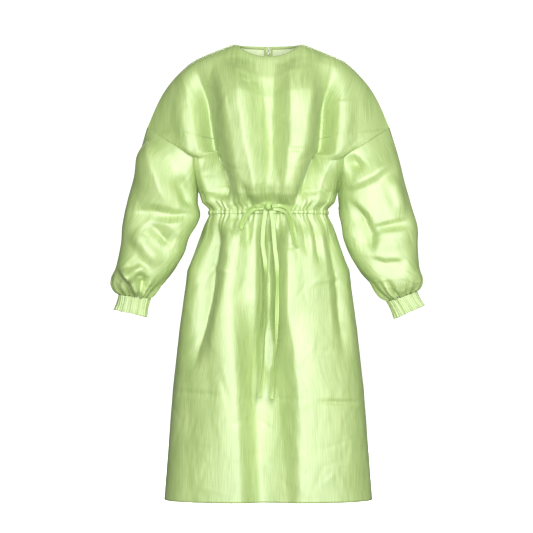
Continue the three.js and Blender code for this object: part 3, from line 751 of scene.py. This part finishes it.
def refined(grid, closed=False):
    """The grid with a cubic point between each two, down and across, so that folds read as smooth
    curves: 9/16 of the two neighbours less 1/16 of the next two."""
    for axis, wrap in ((0, False), (1, closed)):
        size = grid.shape[axis]
        if wrap:
            before, here, after, last = (np.roll(grid, n, axis) for n in (1, 0, -1, -2))
        else:
            start = 2 * grid.take([0], axis) - grid.take([1], axis)
            end = 2 * grid.take([-1], axis) - grid.take([-2], axis)
            padded = np.concatenate([start, grid, end], axis)
            before, here, after, last = (padded.take(range(n, n + size - 1), axis) for n in range(4))
        middle = (9 * (here + after) - before - last) / 16
        grid = np.repeat(grid, 2, axis).take(range(2 * size - (not wrap)), axis)
        index = [slice(None)] * grid.ndim
        index[axis] = slice(1, None, 2)
        grid[tuple(index)] = middle
    return grid


LOOSE_HOLD = 0.42  # how firmly cloth that nothing carries is held to its laid shape
COARSE = 4  # the cloth hangs on every fourth row and column


def hung(grids, closed, hold_rows):
    """Hangs the coarse grids as one cloth, and moves all points of the fine ones along. The hold rows
    say, for each grid, which of its coarse rows are held more firmly: first, last and how firmly."""
    coarse = [grid[::COARSE, ::COARSE] for grid in grids]
    points, faces, places = joined(coarse, closed)
    hold = np.full(len(points), LOOSE_HOLD)
    for place, rows in zip(places, hold_rows):
        for first, last, amount in rows:
            hold[place[first:last]] = amount
    moved = hang(points, faces, hold) - points
    return [grid + refined(refined(blurred(moved[place], wrap), wrap), wrap)
            for grid, place, wrap in zip(grids, places, closed)]


# ---- the panels and sleeves ----
front = lay_folds(panel_grid("front"), "front")
back = lay_folds(panel_grid("back"), "back")
sleeves = {name: lay_sleeve_folds(sleeve_grid(name, side, front, back), name, side) for name, side in SIDES}
waist, cuff_end = WAIST_ROW // COARSE, SLEEVE_ROWS // COARSE
body_hold = [(0, 2, 1.0), (2, 4, 0.85), (waist - 1, waist + 3, 1.0)]
sleeve_hold = [(cuff_end - 1, cuff_end + 1, 1.0)]
front, back, sleeves["left"], sleeves["right"] = hung(
    [front, back, *sleeves.values()], [False, False, True, True],
    [body_hold, body_hold, sleeve_hold, sleeve_hold])


# ---- creases: where the folded cloth was pressed, and the crumple of its handling ----
# Pressed creases of the front: start and end as (x, z), half width, height.
PRESSED = [
    ((-0.018, -0.060), (-0.016, -0.400), 0.006, 0.0016),
    ((-0.243, -0.872), (-0.108, -0.878), 0.009, -0.0030),
    ((0.118, -0.893), (0.240, -0.900), 0.007, -0.0060),
    ((-0.100, -0.885), (0.110, -0.888), 0.008, -0.0012),
    ((0.032, -0.511), (0.075, -0.511), 0.009, -0.0040),
    ((0.049, -0.272), (0.092, -0.272), 0.008, -0.0028),
    ((-0.068, -0.102), (-0.020, -0.103), 0.006, -0.0012),
    ((-0.110, -0.452), (-0.074, -0.482), 0.008, -0.0040),
    ((-0.150, -0.560), (-0.085, -0.575), 0.010, 0.0030),
    ((0.100, -0.600), (0.185, -0.585), 0.010, 0.0030),
]


def crease_heights(across, down, creases):
    """Sum of straight creases: a tent over the distance to the line, rounded at its top, that fades out
    over the last part of the line's length."""
    total = np.zeros(np.broadcast(across, down).shape)
    for start, end, width, height in creases:
        (x0, z0), (x1, z1) = start, end
        length = np.hypot(x1 - x0, z1 - z0)
        ux, uz = (x1 - x0) / length, (z1 - z0) / length
        along = (across - x0) * ux + (down - z0) * uz
        far = np.abs((across - x0) * uz - (down - z0) * ux) / width
        tent = np.maximum(1.1 - np.sqrt(far**2 + 0.01), 0)
        fade = min(0.35 * length, 0.05)
        total += height * tent * ease(along / fade) * ease((length - along) / fade)
    return total


def crumple(seed, count, low, high, lean=0.5):
    """Short creases strewn between the corners low and high, more of them upright than across."""
    random = np.random.default_rng(seed)
    creases = []
    for _ in range(count):
        x, z = random.uniform(low, high)
        turn = random.normal(0, lean) + (np.pi / 2 if random.random() < 0.22 else 0)
        half = random.uniform(0.015, 0.055)
        dx, dz = half * np.sin(turn), half * np.cos(turn)
        height = random.choice([-1, 1]) * random.uniform(0.0004, 0.0011)
        creases.append(((x - dx, z - dz), (x + dx, z + dz), random.uniform(0.005, 0.010), height))
    return creases


def creased(grid, creases, share=1.0):
    """Moves the grid along its normals by its creases, and not at all on its outer edges and its waist;
    share says how much of them each place takes."""
    rows, columns = grid.shape[:2]
    side = from_ends(columns, 6.0)[None, :]
    top = from_ends(rows, 8.0)[:, None]
    waist = ease((np.abs(grid[..., 2] - WAIST_Z) - 0.008) / 0.02)
    height = crease_heights(grid[..., 0], grid[..., 2], creases) * side * top * waist
    return grid + outward(grid) * (height * share)[..., None]


def creased_sleeve(rings, seed):
    """The same crumple on a sleeve, strewn over its surface unrolled: distance round it and down it."""
    round_length, down_length = 0.50, 0.46
    across = (np.linspace(0, 1, rings.shape[1] + 1)[None, :-1] - 0.5) * round_length
    down = -np.linspace(0, 1, rings.shape[0])[:, None] * down_length
    creases = crumple(seed, 90, (-0.24, -0.44), (0.24, -0.02), lean=0.7)
    height = crease_heights(across, down, creases) * from_ends(len(rings), 8.0)[:, None]
    return rings + outward(rings, closed=True) * height[..., None]


def opened_at_zip(part, side):
    """A back piece with its middle edge moved aside over the zip's length and turned in to the tape."""
    part = part.copy()
    x, z = part[..., 0], part[..., 2]
    over_zip = ease((z - ZIP_BOTTOM_Z) / 0.006)
    near = np.clip(1 - np.abs(x) / ZIP_EDGE, 0, 1)
    part[..., 1] -= ZIP_TURN_IN * ease((near - 0.55) / 0.45) * over_zip
    part[..., 0] += side * ZIP_CLEAR * near * over_zip
    return part


def add_panel(name, grid, nodes, flip=False):
    """A panel or sleeve: its grid given a thickness, with the duller reverse of the cloth inside."""
    faces = grid_faces(*grid.shape[:2])
    piece = make_piece(name, grid, faces[:, ::-1] if flip else faces, [GOWN, REVERSE], cloth_uv(grid))
    thicken(piece, inner_material=1)
    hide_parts(*nodes)
    return piece


BODY_LOW, BODY_HIGH = (-0.24, -1.13), (0.24, -0.04)
fine_front = creased(front, PRESSED + crumple(5, 260, BODY_LOW, BODY_HIGH))
fine_back = creased(back, crumple(6, 190, BODY_LOW, BODY_HIGH), away_from_zip(back, ZIP_EDGE, 0.02, 0.03))
MIDDLE = COLUMNS // 2
BACK_PARTS = {"left": slice(0, MIDDLE + 1), "right": slice(MIDDLE, None)}
SLEEVE_SEEDS = {"left": 7, "right": 8}


def add_panels():
    """The front panel, the two halves of the back, open over the zip, and the sleeves."""
    piece = add_panel("front_panel_cloth", fine_front, ["front_bodice", "front_skirt"])
    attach(piece, "gown_body")
    for name, side in SIDES:
        half = opened_at_zip(fine_back[:, BACK_PARTS[name]], side)
        nodes = ["back_bodice_" + name, "back_skirt_" + name]
        piece = add_panel("back_panel_" + name + "_cloth", half, nodes, flip=True)
        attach(piece, "gown_body")
        rings = creased_sleeve(sleeves[name], SLEEVE_SEEDS[name])
        rings = np.concatenate([rings, rings[:, :1]], 1)
        piece = add_panel("sleeve_" + name + "_cloth", rings, ["sleeve_" + name], flip=side > 0)
        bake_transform(piece)


# ---- strips, bands and ribbons ----
def finish(piece, node, body="gown_body"):
    """Attaches a piece to the body it moves with and hides the node it stands for."""
    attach(piece, body)
    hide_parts(node)
    return piece


def edge_strip(grid, rows, depth):
    """The turned-in edge along a grid's first rows: it starts at the edge, rounds over it and runs down
    the inside at the given depth under the cloth."""
    normal = outward(grid)
    down = unit(grid[1] - grid[0])
    first = grid[0] - normal[0] * 0.0001
    over = grid[0] - normal[0] * depth * 0.5 - down * 0.0007
    inside = grid[:rows] - normal[:rows] * depth
    return np.concatenate([first[None], over[None], inside])


def swept(line, sideways, outwards, profile):
    """A closed outline carried along a line: each of its points stands at the line's point plus its first
    number along sideways and its second along outwards. Returns the points and faces."""
    ring = line[:, None] + sideways[:, None] * profile[..., 0:1] + outwards[:, None] * profile[..., 1:2]
    return ring.reshape(-1, 3), capped_faces(*ring.shape[:2])


def face_out(piece):
    """Turns the faces of a closed piece outwards."""
    work = bmesh.new()
    work.from_mesh(piece.data)
    bmesh.ops.recalc_face_normals(work, faces=work.faces)
    work.to_mesh(piece.data)
    work.free()
    return piece


def sweep_piece(name, line, sideways, outwards, profile, material):
    """A swept piece whose cloth map runs along the line and round the outline."""
    profiles = np.broadcast_to(profile, (len(line), *profile.shape[-2:]))
    points, faces = swept(line, sideways, outwards, profiles)
    along = np.concatenate([[0], np.cumsum(np.linalg.norm(np.diff(line, axis=0), axis=1))])
    around = np.linspace(0, 2 * np.abs(profile[..., 0]).max() * 2, profile.shape[-2])
    uv = np.stack(np.broadcast_arrays(around[None], along[:, None]), -1).reshape(-1, 2)
    return face_out(make_piece(name, points, faces, [material], uv))


def waist_ring():
    """The gown's waist as one ring of points, three for each column and evened out by averaging with
    their neighbours, with the outward direction at each."""
    row = WAIST_ROW + CASING_ROWS // 2
    ring = np.concatenate([fine_front[row], fine_back[row][-2:0:-1]])
    at = np.arange(3 * len(ring)) / 3
    low = at.astype(int)
    share = (at - low)[:, None]
    ring = ring[low] * (1 - share) + ring[(low + 1) % len(ring)] * share
    for _ in range(8):
        ring = (ring * 2 + np.roll(ring, 1, 0) + np.roll(ring, -1, 0)) / 4
    ring[:, 2] = WAIST_Z
    tangent = unit(np.roll(ring, -1, 0) - np.roll(ring, 1, 0))
    out = unit(np.cross(tangent, [0, 0, 1]))
    return ring, out * np.sign((out * ring * [1, 1, 0]).sum())


CASING_OUT = 0.0022  # how far the casing's middle stands out from the cloth it is sewn to
CASING_BULGE = 0.0022
RUCHE_HEIGHT, RUCHE_BULGE, WAVER_HEIGHT = 0.0004, 0.0007, 0.0007
STRING_HALF_WIDTH, STRING_HALF_DEPTH = 0.0026, 0.0008


def add_waist():
    """The casing, ruched on its drawstring, and the drawstring inside it, each an outline carried round
    the waist: a superellipse that swells and shrinks with the ruche, and an ellipse. Both are open at
    the front, where the string comes out to the knot."""
    ring, out = waist_ring()
    start = np.argmin(np.abs(ring[:, 0]) + (ring[:, 1] > 0))
    ring, out = np.roll(ring, -start, 0), np.roll(out, -start, 0)
    keep = slice(4, -4)
    angle = ring_angles(len(ring))
    ruche = gathers(angle, RUCHE)[:, None]
    up = np.broadcast_to([0.0, 0.0, 1.0], ring.shape)
    turn = ring_angles(18)
    height = CASING_HEIGHT / 2 + 0.0003 + RUCHE_HEIGHT * ruche
    bulge = CASING_BULGE + RUCHE_BULGE * ruche
    profile = np.stack([height * signed_power(np.cos(turn), 0.7), CASING_OUT + bulge * np.sin(turn)], -1)
    wave = WAVER_HEIGHT * gathers(angle, WAVER)[:, None] * up
    path = (ring + wave)[keep], up[keep], out[keep]
    casing = sweep_piece("waist_casing_cloth", *path, profile[keep], GOWN)
    finish(casing, "waist_casing")
    flat = np.stack([STRING_HALF_WIDTH * np.cos(turn), CASING_OUT + STRING_HALF_DEPTH * np.sin(turn)], -1)
    string = sweep_piece("drawstring_cloth", *path, flat, TIE)
    finish(string, "drawstring")


# ---- the bow ----
# Middle lines of the tails, from the knot to the tip, and of the loops, from the knot and back to it.
TAIL_ROUTES = {
    "left": [
        (-0.0065, -0.110, -0.422), (-0.009, -0.112, -0.440), (-0.0115, -0.114, -0.456),
        (-0.013, -0.116, -0.470), (-0.014, -0.1185, -0.488), (-0.014, -0.121, -0.505),
        (-0.011, -0.124, -0.528), (-0.008, -0.127, -0.550), (-0.0068, -0.130, -0.580),
        (-0.0065, -0.133, -0.610), (-0.007, -0.137, -0.670), (-0.0083, -0.1395, -0.700),
        (-0.010, -0.142, -0.730), (-0.013, -0.146, -0.790), (-0.017, -0.150, -0.840),
        (-0.023, -0.153, -0.884),
    ],
    "right": [
        (0.0065, -0.110, -0.422), (0.010, -0.112, -0.440), (0.0117, -0.1145, -0.458),
        (0.013, -0.117, -0.475), (0.0152, -0.1195, -0.498), (0.017, -0.122, -0.520),
        (0.0193, -0.125, -0.540), (0.021, -0.128, -0.560), (0.0218, -0.1305, -0.585),
        (0.022, -0.133, -0.610), (0.0216, -0.1355, -0.645), (0.021, -0.138, -0.680),
        (0.019, -0.142, -0.740), (0.014, -0.147, -0.800), (0.011, -0.151, -0.850),
        (0.007, -0.153, -0.888),
    ],
}
LOOP_ROUTES = {
    "left": [
        (-0.009, -0.109, -0.411), (-0.024, -0.112, -0.410), (-0.040, -0.113, -0.414),
        (-0.052, -0.113, -0.426), (-0.062, -0.116, -0.444), (-0.068, -0.120, -0.462),
        (-0.064, -0.124, -0.464), (-0.056, -0.121, -0.446), (-0.046, -0.118, -0.428),
        (-0.032, -0.117, -0.418), (-0.012, -0.114, -0.415),
    ],
    "right": [
        (0.009, -0.109, -0.411), (0.028, -0.112, -0.410), (0.046, -0.112, -0.417),
        (0.056, -0.112, -0.434), (0.064, -0.116, -0.468), (0.072, -0.121, -0.506),
        (0.068, -0.125, -0.508), (0.058, -0.121, -0.470), (0.049, -0.118, -0.436),
        (0.036, -0.117, -0.422), (0.012, -0.114, -0.416),
    ],
}
# How far each tail is turned about its own length, in radians, from the knot to its end.
TAIL_TWIST = {
    "left": [0.0, 0.1, 0.0, 0.0, 0.1, 0.0, 0.0, 0.2, 1.1, 1.35, 1.3, 1.25, 1.3, 1.1, 0.9, 0.5],
    "right": [0.0, 0.0, 0.1, 0.1, 0.0, 0.0, 0.1, 0.2, 0.7, 0.8, 0.5, 0.4, 0.9, 1.2, 1.0, 0.3],
}
LOOP_TWIST = [0.0, 0.3, 0.6, 0.6, 0.5, 0.6, 0.6, 0.6, 0.6, 0.4, 0.1]
TIE_WIDTH = 0.0105
LOOP_WIDTH = 0.0085  # a loop is the same tie, folded a little narrower by the knot
TIE_HALF_THICKNESS = 0.00062
TIE_HOLLOW = 0.0006  # how far the tie's edges stand forward of its middle
KNOT = (0.0, -0.109, -0.411)
KNOT_SIZE = (0.0078, 0.0062, 0.0088)  # half sizes in x, y and z
KNOT_LEAN = 0.25
LOOP_CLEAR = 0.004  # how far a loop's middle line keeps in front of the cloth


def ribbon(name, route, twist, width, steps):
    """A folded and stitched tie: a flat superellipse, thicker at its two edges than between them and
    hollowed across its face, carried along the route with its face outwards and turned by the twist."""
    t = np.linspace(0, 1, steps)
    line = through(route, t)
    tangent = unit(np.gradient(line, axis=0))
    turned = through(np.array(twist, float)[:, None], t)[:, 0]
    out = np.broadcast_to([0.0, -1.0, 0.0], line.shape)
    side = unit(np.cross(tangent, out))
    out = unit(np.cross(side, tangent))
    cos, sin = np.cos(turned)[:, None], np.sin(turned)[:, None]
    side, out = side * cos + out * sin, out * cos - side * sin
    turn = ring_angles(20)
    half = width / 2
    across = half * signed_power(np.cos(turn), 0.6)
    thick = TIE_HALF_THICKNESS * signed_power(np.sin(turn), 0.7)
    thick = thick * (0.75 + 0.5 * (np.abs(across) / half) ** 4)
    thick = thick + TIE_HOLLOW * (across / half) ** 2
    return sweep_piece(name, line, side, out, np.stack([across, thick], -1), TIE)


def add_knot():
    """The knot: a rounded lump, pinched where the wrap crosses it, its radius from the angles by
    superellipse powers with a groove on each side of the wrap."""
    a = np.linspace(0, np.pi, 33)[:, None]
    b = ring_angles(48)[None, :]
    wrap = np.cos(a) * np.ones_like(b)
    groove = 0.10 * np.exp(-((np.abs(wrap) - 0.45) / 0.12) ** 2)
    crease = 0.04 * np.cos(5 * b + 3 * wrap)
    size = 1 - groove + crease * np.sin(a)
    x = KNOT_SIZE[0] * size * np.sin(a) ** 0.8 * np.cos(b)
    y = KNOT_SIZE[1] * size * np.sin(a) ** 0.8 * np.sin(b)
    z = KNOT_SIZE[2] * size * np.cos(a)
    cos, sin = np.cos(KNOT_LEAN), np.sin(KNOT_LEAN)
    x, z = x * cos - z * sin, x * sin + z * cos
    grid = np.stack([x, y, z], -1) + KNOT
    uv = np.stack(np.broadcast_arrays(b * 0.006, a * 0.008), -1)
    piece = face_out(make_piece("tie_knot_cloth", grid, grid_faces(33, 48, closed=True), [TIE], uv))
    finish(piece, "tie_knot")


def in_front(route):
    """The route with each point brought forward of the cloth behind it: the foremost point of the front
    panel within 12 mm in x and z gives the cloth's depth there."""
    cloth = fine_front.reshape(-1, 3)
    route = np.array(route)
    apart = np.hypot(cloth[None, :, 0] - route[:, None, 0], cloth[None, :, 2] - route[:, None, 2])
    depth = np.where(apart < 0.012, cloth[None, :, 1], 0).min(axis=1)
    route[:, 1] = np.minimum(route[:, 1], depth - LOOP_CLEAR)
    return route


def add_loop(name):
    """One loop of the bow: the tie carried along the loop's route."""
    route = in_front(LOOP_ROUTES[name])
    loop = ribbon("bow_loop_" + name + "_cloth", route, LOOP_TWIST, LOOP_WIDTH, 120)
    finish(loop, "bow_loop_" + name)


def add_tail(name):
    """One hanging end of the tie, from the knot to its tip."""
    tail = ribbon("tie_tail_" + name + "_cloth", TAIL_ROUTES[name], TAIL_TWIST[name], TIE_WIDTH, 200)
    finish(tail, "tie_tail_" + name)


def add_bow():
    """The knot with its two loops and two tails."""
    add_knot()
    for name, _ in SIDES:
        add_loop(name)
        add_tail(name)


# ---- cuffs ----
CUFF_TILT = {-1: 0.12, 1: 0.32}  # radians, the outer side up, for the left and the right cuff
CUFF_MIDDLE = (0.335, -0.0245)  # x, on the right, and y of its top
CUFF_HALF_WIDTH, CUFF_HALF_DEPTH = 0.0385, 0.0335
CUFF_PLEAT = 0.0036
CUFF_DRAWN = 0.0012  # how far the elastic draws the cuff in half way down
CUFF_FRAY = 0.0009
CUFF_WALL = 0.0038  # from the outer to the inner cloth, with the elastic between them
ELASTIC_INSETS = (0.0014, 0.0024)


def cuff_surface(side, turn, t, inset):
    """The cuff's wall at a share t of its height: an ellipse that moves outwards as it goes down, pleated
    all round by folds that are sharp outside and round inside, drawn in over the elastic, with an uneven
    lower edge, and tilted about its top so that its outer side is higher."""
    lean = turn + 0.10 * side * t
    wave = gathers(lean, CUFF)
    pleat = 1.2 * (1 - np.abs(np.sin(2.2 * wave + 5 * lean))) ** 0.8 - 0.5
    fray = gathers(turn, FRAY)
    near_edge = ease((t - 0.6) / 0.4)
    reach = 0.0012 - inset - CUFF_DRAWN * np.sin(np.pi * t) + pleat * CUFF_PLEAT * (0.7 + 0.5 * near_edge)
    half_width = CUFF_HALF_WIDTH + 0.001 * t + reach
    half_depth = CUFF_HALF_DEPTH + reach
    out = side * 0.006 * t + side * half_width * np.cos(turn)
    y = CUFF_MIDDLE[1] - 0.001 * t - half_depth * np.sin(turn)
    length = CUFF_HIGH.z - CUFF_LOW.z
    down = -length * t + 0.004 * np.cos(turn) * t - CUFF_FRAY * (fray + wave) * near_edge
    tilt = side * CUFF_TILT[side]
    x = side * CUFF_MIDDLE[0] + out * np.cos(tilt) - down * np.sin(tilt)
    z = CUFF_HIGH.z + out * np.sin(tilt) + down * np.cos(tilt)
    return np.stack(np.broadcast_arrays(x, y, z), -1)


def closed_wall(name, outer, inner, material):
    """A band with an outer and an inner wall, joined over its top and under its bottom."""
    grid = np.concatenate([outer, inner[::-1], outer[:1]])
    rows, columns = grid.shape[:2]
    faces = grid_faces(rows, columns, closed=True) % ((rows - 1) * columns)
    u = np.broadcast_to(np.linspace(0, 0.22, columns)[None], (rows - 1, columns))
    v = np.broadcast_to(np.linspace(0, 0.09, rows - 1)[:, None], (rows - 1, columns))
    piece = make_piece(name, grid[:-1], faces, [material], np.stack([u, v], -1))
    return face_out(piece)


def add_cuffs():
    """Each cuff, two layers of cloth, with its elastic between them."""
    turn = ring_angles(260)[None, :]
    t = np.linspace(0, 1, 30)[:, None]
    short = np.linspace(0.16, 0.84, 12)[:, None]
    for name, side in SIDES:
        walls = [cuff_surface(side, turn, t, inset) for inset in (0.0, CUFF_WALL)]
        cuff = closed_wall("cuff_" + name + "_cloth", *walls, GOWN)
        finish(cuff, "cuff_" + name, "sleeve_" + name)
        band = [cuff_surface(side, turn, short, inset) for inset in ELASTIC_INSETS]
        elastic = closed_wall("cuff_elastic_" + name + "_band", *band, ELASTIC)
        finish(elastic, "cuff_elastic_" + name, "sleeve_" + name)


# ---- neck edge and hem ----
STRIP_DEPTH = 0.0013  # how far a turned-in edge lies under the cloth
# Cross-section of the neck binding, folded over the edge: out from the cloth and down from the edge.
BINDING_PROFILE = [(0.0009, 0.0062), (0.0010, 0.0030), (0.0010, 0.0006), (0.0006, -0.0007),
                   (-0.0004, -0.0011), (-0.0013, -0.0006), (-0.0016, 0.0006), (-0.0016, 0.0035),
                   (-0.0015, 0.0068)]


def strip_piece(name, grid, node, material):
    """A narrow strip of cloth: its grid given a thickness."""
    piece = make_piece(name, grid, grid_faces(*grid.shape[:2]), [material], cloth_uv(grid))
    thicken(piece, TRIM_CLOTH)
    return finish(piece, node)


def add_neck_finish():
    """The facing turned in behind the front neckline, and the binding over the back one, left and right
    of the zip."""
    facing = edge_strip(fine_front[:10], 9, STRIP_DEPTH)
    piece = strip_piece("neck_facing_front_cloth", facing, "neck_facing_front", REVERSE)
    normal = outward(fine_back[:3])[0]
    line = fine_back[0]
    down = unit(fine_back[2] - fine_back[0])
    binding = np.stack([line + normal * out + down * depth for out, depth in BINDING_PROFILE])
    for name, side in SIDES:
        part = binding[:, BACK_PARTS[name]].copy()
        part[..., 0] = clear_of_zip(part[..., 0], side)
        node = "neck_binding_back_" + name
        piece = strip_piece(node + "_cloth", part, node, BINDING)


def add_hem():
    """The turned-up lower edge of the front panel and of each half of the back."""
    panels = {"front": fine_front, **{"back_" + name: fine_back[:, BACK_PARTS[name]] for name, _ in SIDES}}
    for part, grid in panels.items():
        node = "hem_turn_up_" + part
        strip = edge_strip(grid[::-1][:8], 5, STRIP_DEPTH)
        piece = strip_piece(node + "_cloth", strip, node, REVERSE)


# ---- zip and fastening ----
def clear_of_zip(x, side):
    """Moves the middle edge of a back piece sideways, so that it leaves the zip's teeth free."""
    return np.where(np.abs(x) < ZIP_CLEAR, side * ZIP_CLEAR, x)


def add_metal(node, width, body="gown_body"):
    """A metal part of the zip or the fastening: the node's own shape, with its edges rounded over."""
    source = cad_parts[node]
    work = bmesh.new()
    work.from_mesh(source.data)
    bmesh.ops.remove_doubles(work, verts=work.verts, dist=1e-6)
    bmesh.ops.dissolve_limit(work, angle_limit=0.02, verts=work.verts, edges=work.edges)
    mesh = bpy.data.meshes.new(node + "_metal")
    work.to_mesh(mesh)
    work.free()
    mesh.materials.append(METAL)
    piece = bpy.data.objects.new(node + "_metal", mesh)
    bpy.context.scene.collection.objects.link(piece)
    rounding = piece.modifiers.new("rounding", "BEVEL")
    rounding.width = width
    rounding.segments = 3
    rounding.limit_method = "ANGLE"
    mesh.polygons.foreach_set("use_smooth", [True] * len(mesh.polygons))
    finish(piece, node, body)


ZIP_PLACE = np.array([0, 0.0669, -0.015])
ZIP_LEAN = np.arctan(42 / 225)  # it follows the back, 42 mm out over 225 mm down
ZIP_LENGTH = 0.215
TAPE_TOP = 0.0125  # how far the tapes run above the top of the zip's teeth
# Outline of a tape in the zip's own frame, in mm: from the middle out and back, and how far behind.
TAPE_ACROSS = [0.5, 3, 6, 9.4, 10.2, 10.9, 10.2, 9.4, 6, 3, 0.5]
TAPE_OUT = [-2.75, -2.75, -2.75, -2.75, -2.6, -3.1, -3.6, -3.4, -3.4, -3.4, -3.4]
# The teeth: their pitch, the middle of a row, the half sizes of one loop and the radius of its line.
COIL_PITCH = 0.00125
COIL_MIDDLE = (0.00155, -0.0017)
COIL_SIZE = (0.00095, 0.00062)
COIL_LINE = 0.00036


def from_zip(points):
    """Turns points of the zip's own frame, where -Z runs down the zip and +Y points out of the back,
    into the gown's frame."""
    x, y, z = np.moveaxis(np.asarray(points, float), -1, 0)
    cos, sin = np.cos(ZIP_LEAN), np.sin(ZIP_LEAN)
    return np.stack([x, y * cos - z * sin, y * sin + z * cos], -1) + ZIP_PLACE


def add_tapes():
    """Each tape is a closed outline, a thin strip with a bead along its outer edge, carried straight down
    the zip."""
    down = np.linspace(TAPE_TOP, -ZIP_LENGTH, 120)[:, None]
    across, out = np.array(TAPE_ACROSS) * 0.001, np.array(TAPE_OUT) * 0.001
    uv = np.stack(np.broadcast_arrays(np.cumsum(np.full(len(across), 0.0022))[None], down), -1)
    for name, side in SIDES:
        grid = from_zip(np.stack(np.broadcast_arrays(side * across, out, down), -1))
        faces = capped_faces(*grid.shape[:2])
        tape = face_out(make_piece("zip_tape_" + name + "_woven", grid, faces, [TAPE], uv))
        finish(tape, "zip_tape_" + name)


def add_coils():
    """Each row of teeth is a run of small loops, turns of a flattened helix seen from behind: a circle
    carried round an ellipse, repeated down the zip."""
    starts = np.arange(-ZIP_LENGTH + 0.0075, -0.003, COIL_PITCH)
    around, section = ring_angles(12), ring_angles(6)
    ring = np.stack([np.cos(around) * COIL_SIZE[0], np.sin(around) * COIL_SIZE[1], around * 0], -1)
    out = unit(ring * [0.4, 1, 0])[:, None]
    circle = out * np.cos(section)[None, :, None] + np.array([0, 0, 1]) * np.sin(section)[None, :, None]
    tube = ring[:, None] + COIL_LINE * circle
    count = len(around) * len(section)
    one = grid_faces(len(around) + 1, len(section), closed=True) % count
    faces = (one[None] + count * np.arange(len(starts))[:, None, None]).reshape(-1, 4)
    for name, side in SIDES:
        placed = tube + [side * COIL_MIDDLE[0], COIL_MIDDLE[1], 0]
        loops = placed[None] + np.stack([starts * 0, starts * 0, starts], -1)[:, None, None]
        coil = make_piece("zip_coil_" + name + "_teeth", from_zip(loops.reshape(-1, 3)), faces, [COIL])
        finish(face_out(coil), "zip_coil_" + name)


def add_zip():
    """The tapes, the teeth and the metal parts, each with the width of its rounded edges."""
    add_tapes()
    add_coils()
    for node in ("zip_top_stop_left", "zip_top_stop_right", "zip_bottom_stop", "neck_hook", "neck_eye"):
        add_metal(node, 0.0002)
    add_metal("zip_slider", 0.0003, "zip_slider")
    add_metal("zip_pull", 0.00012, "zip_pull")


add_panels()
add_waist()
add_bow()
add_cuffs()
add_neck_finish()
add_hem()
add_zip()
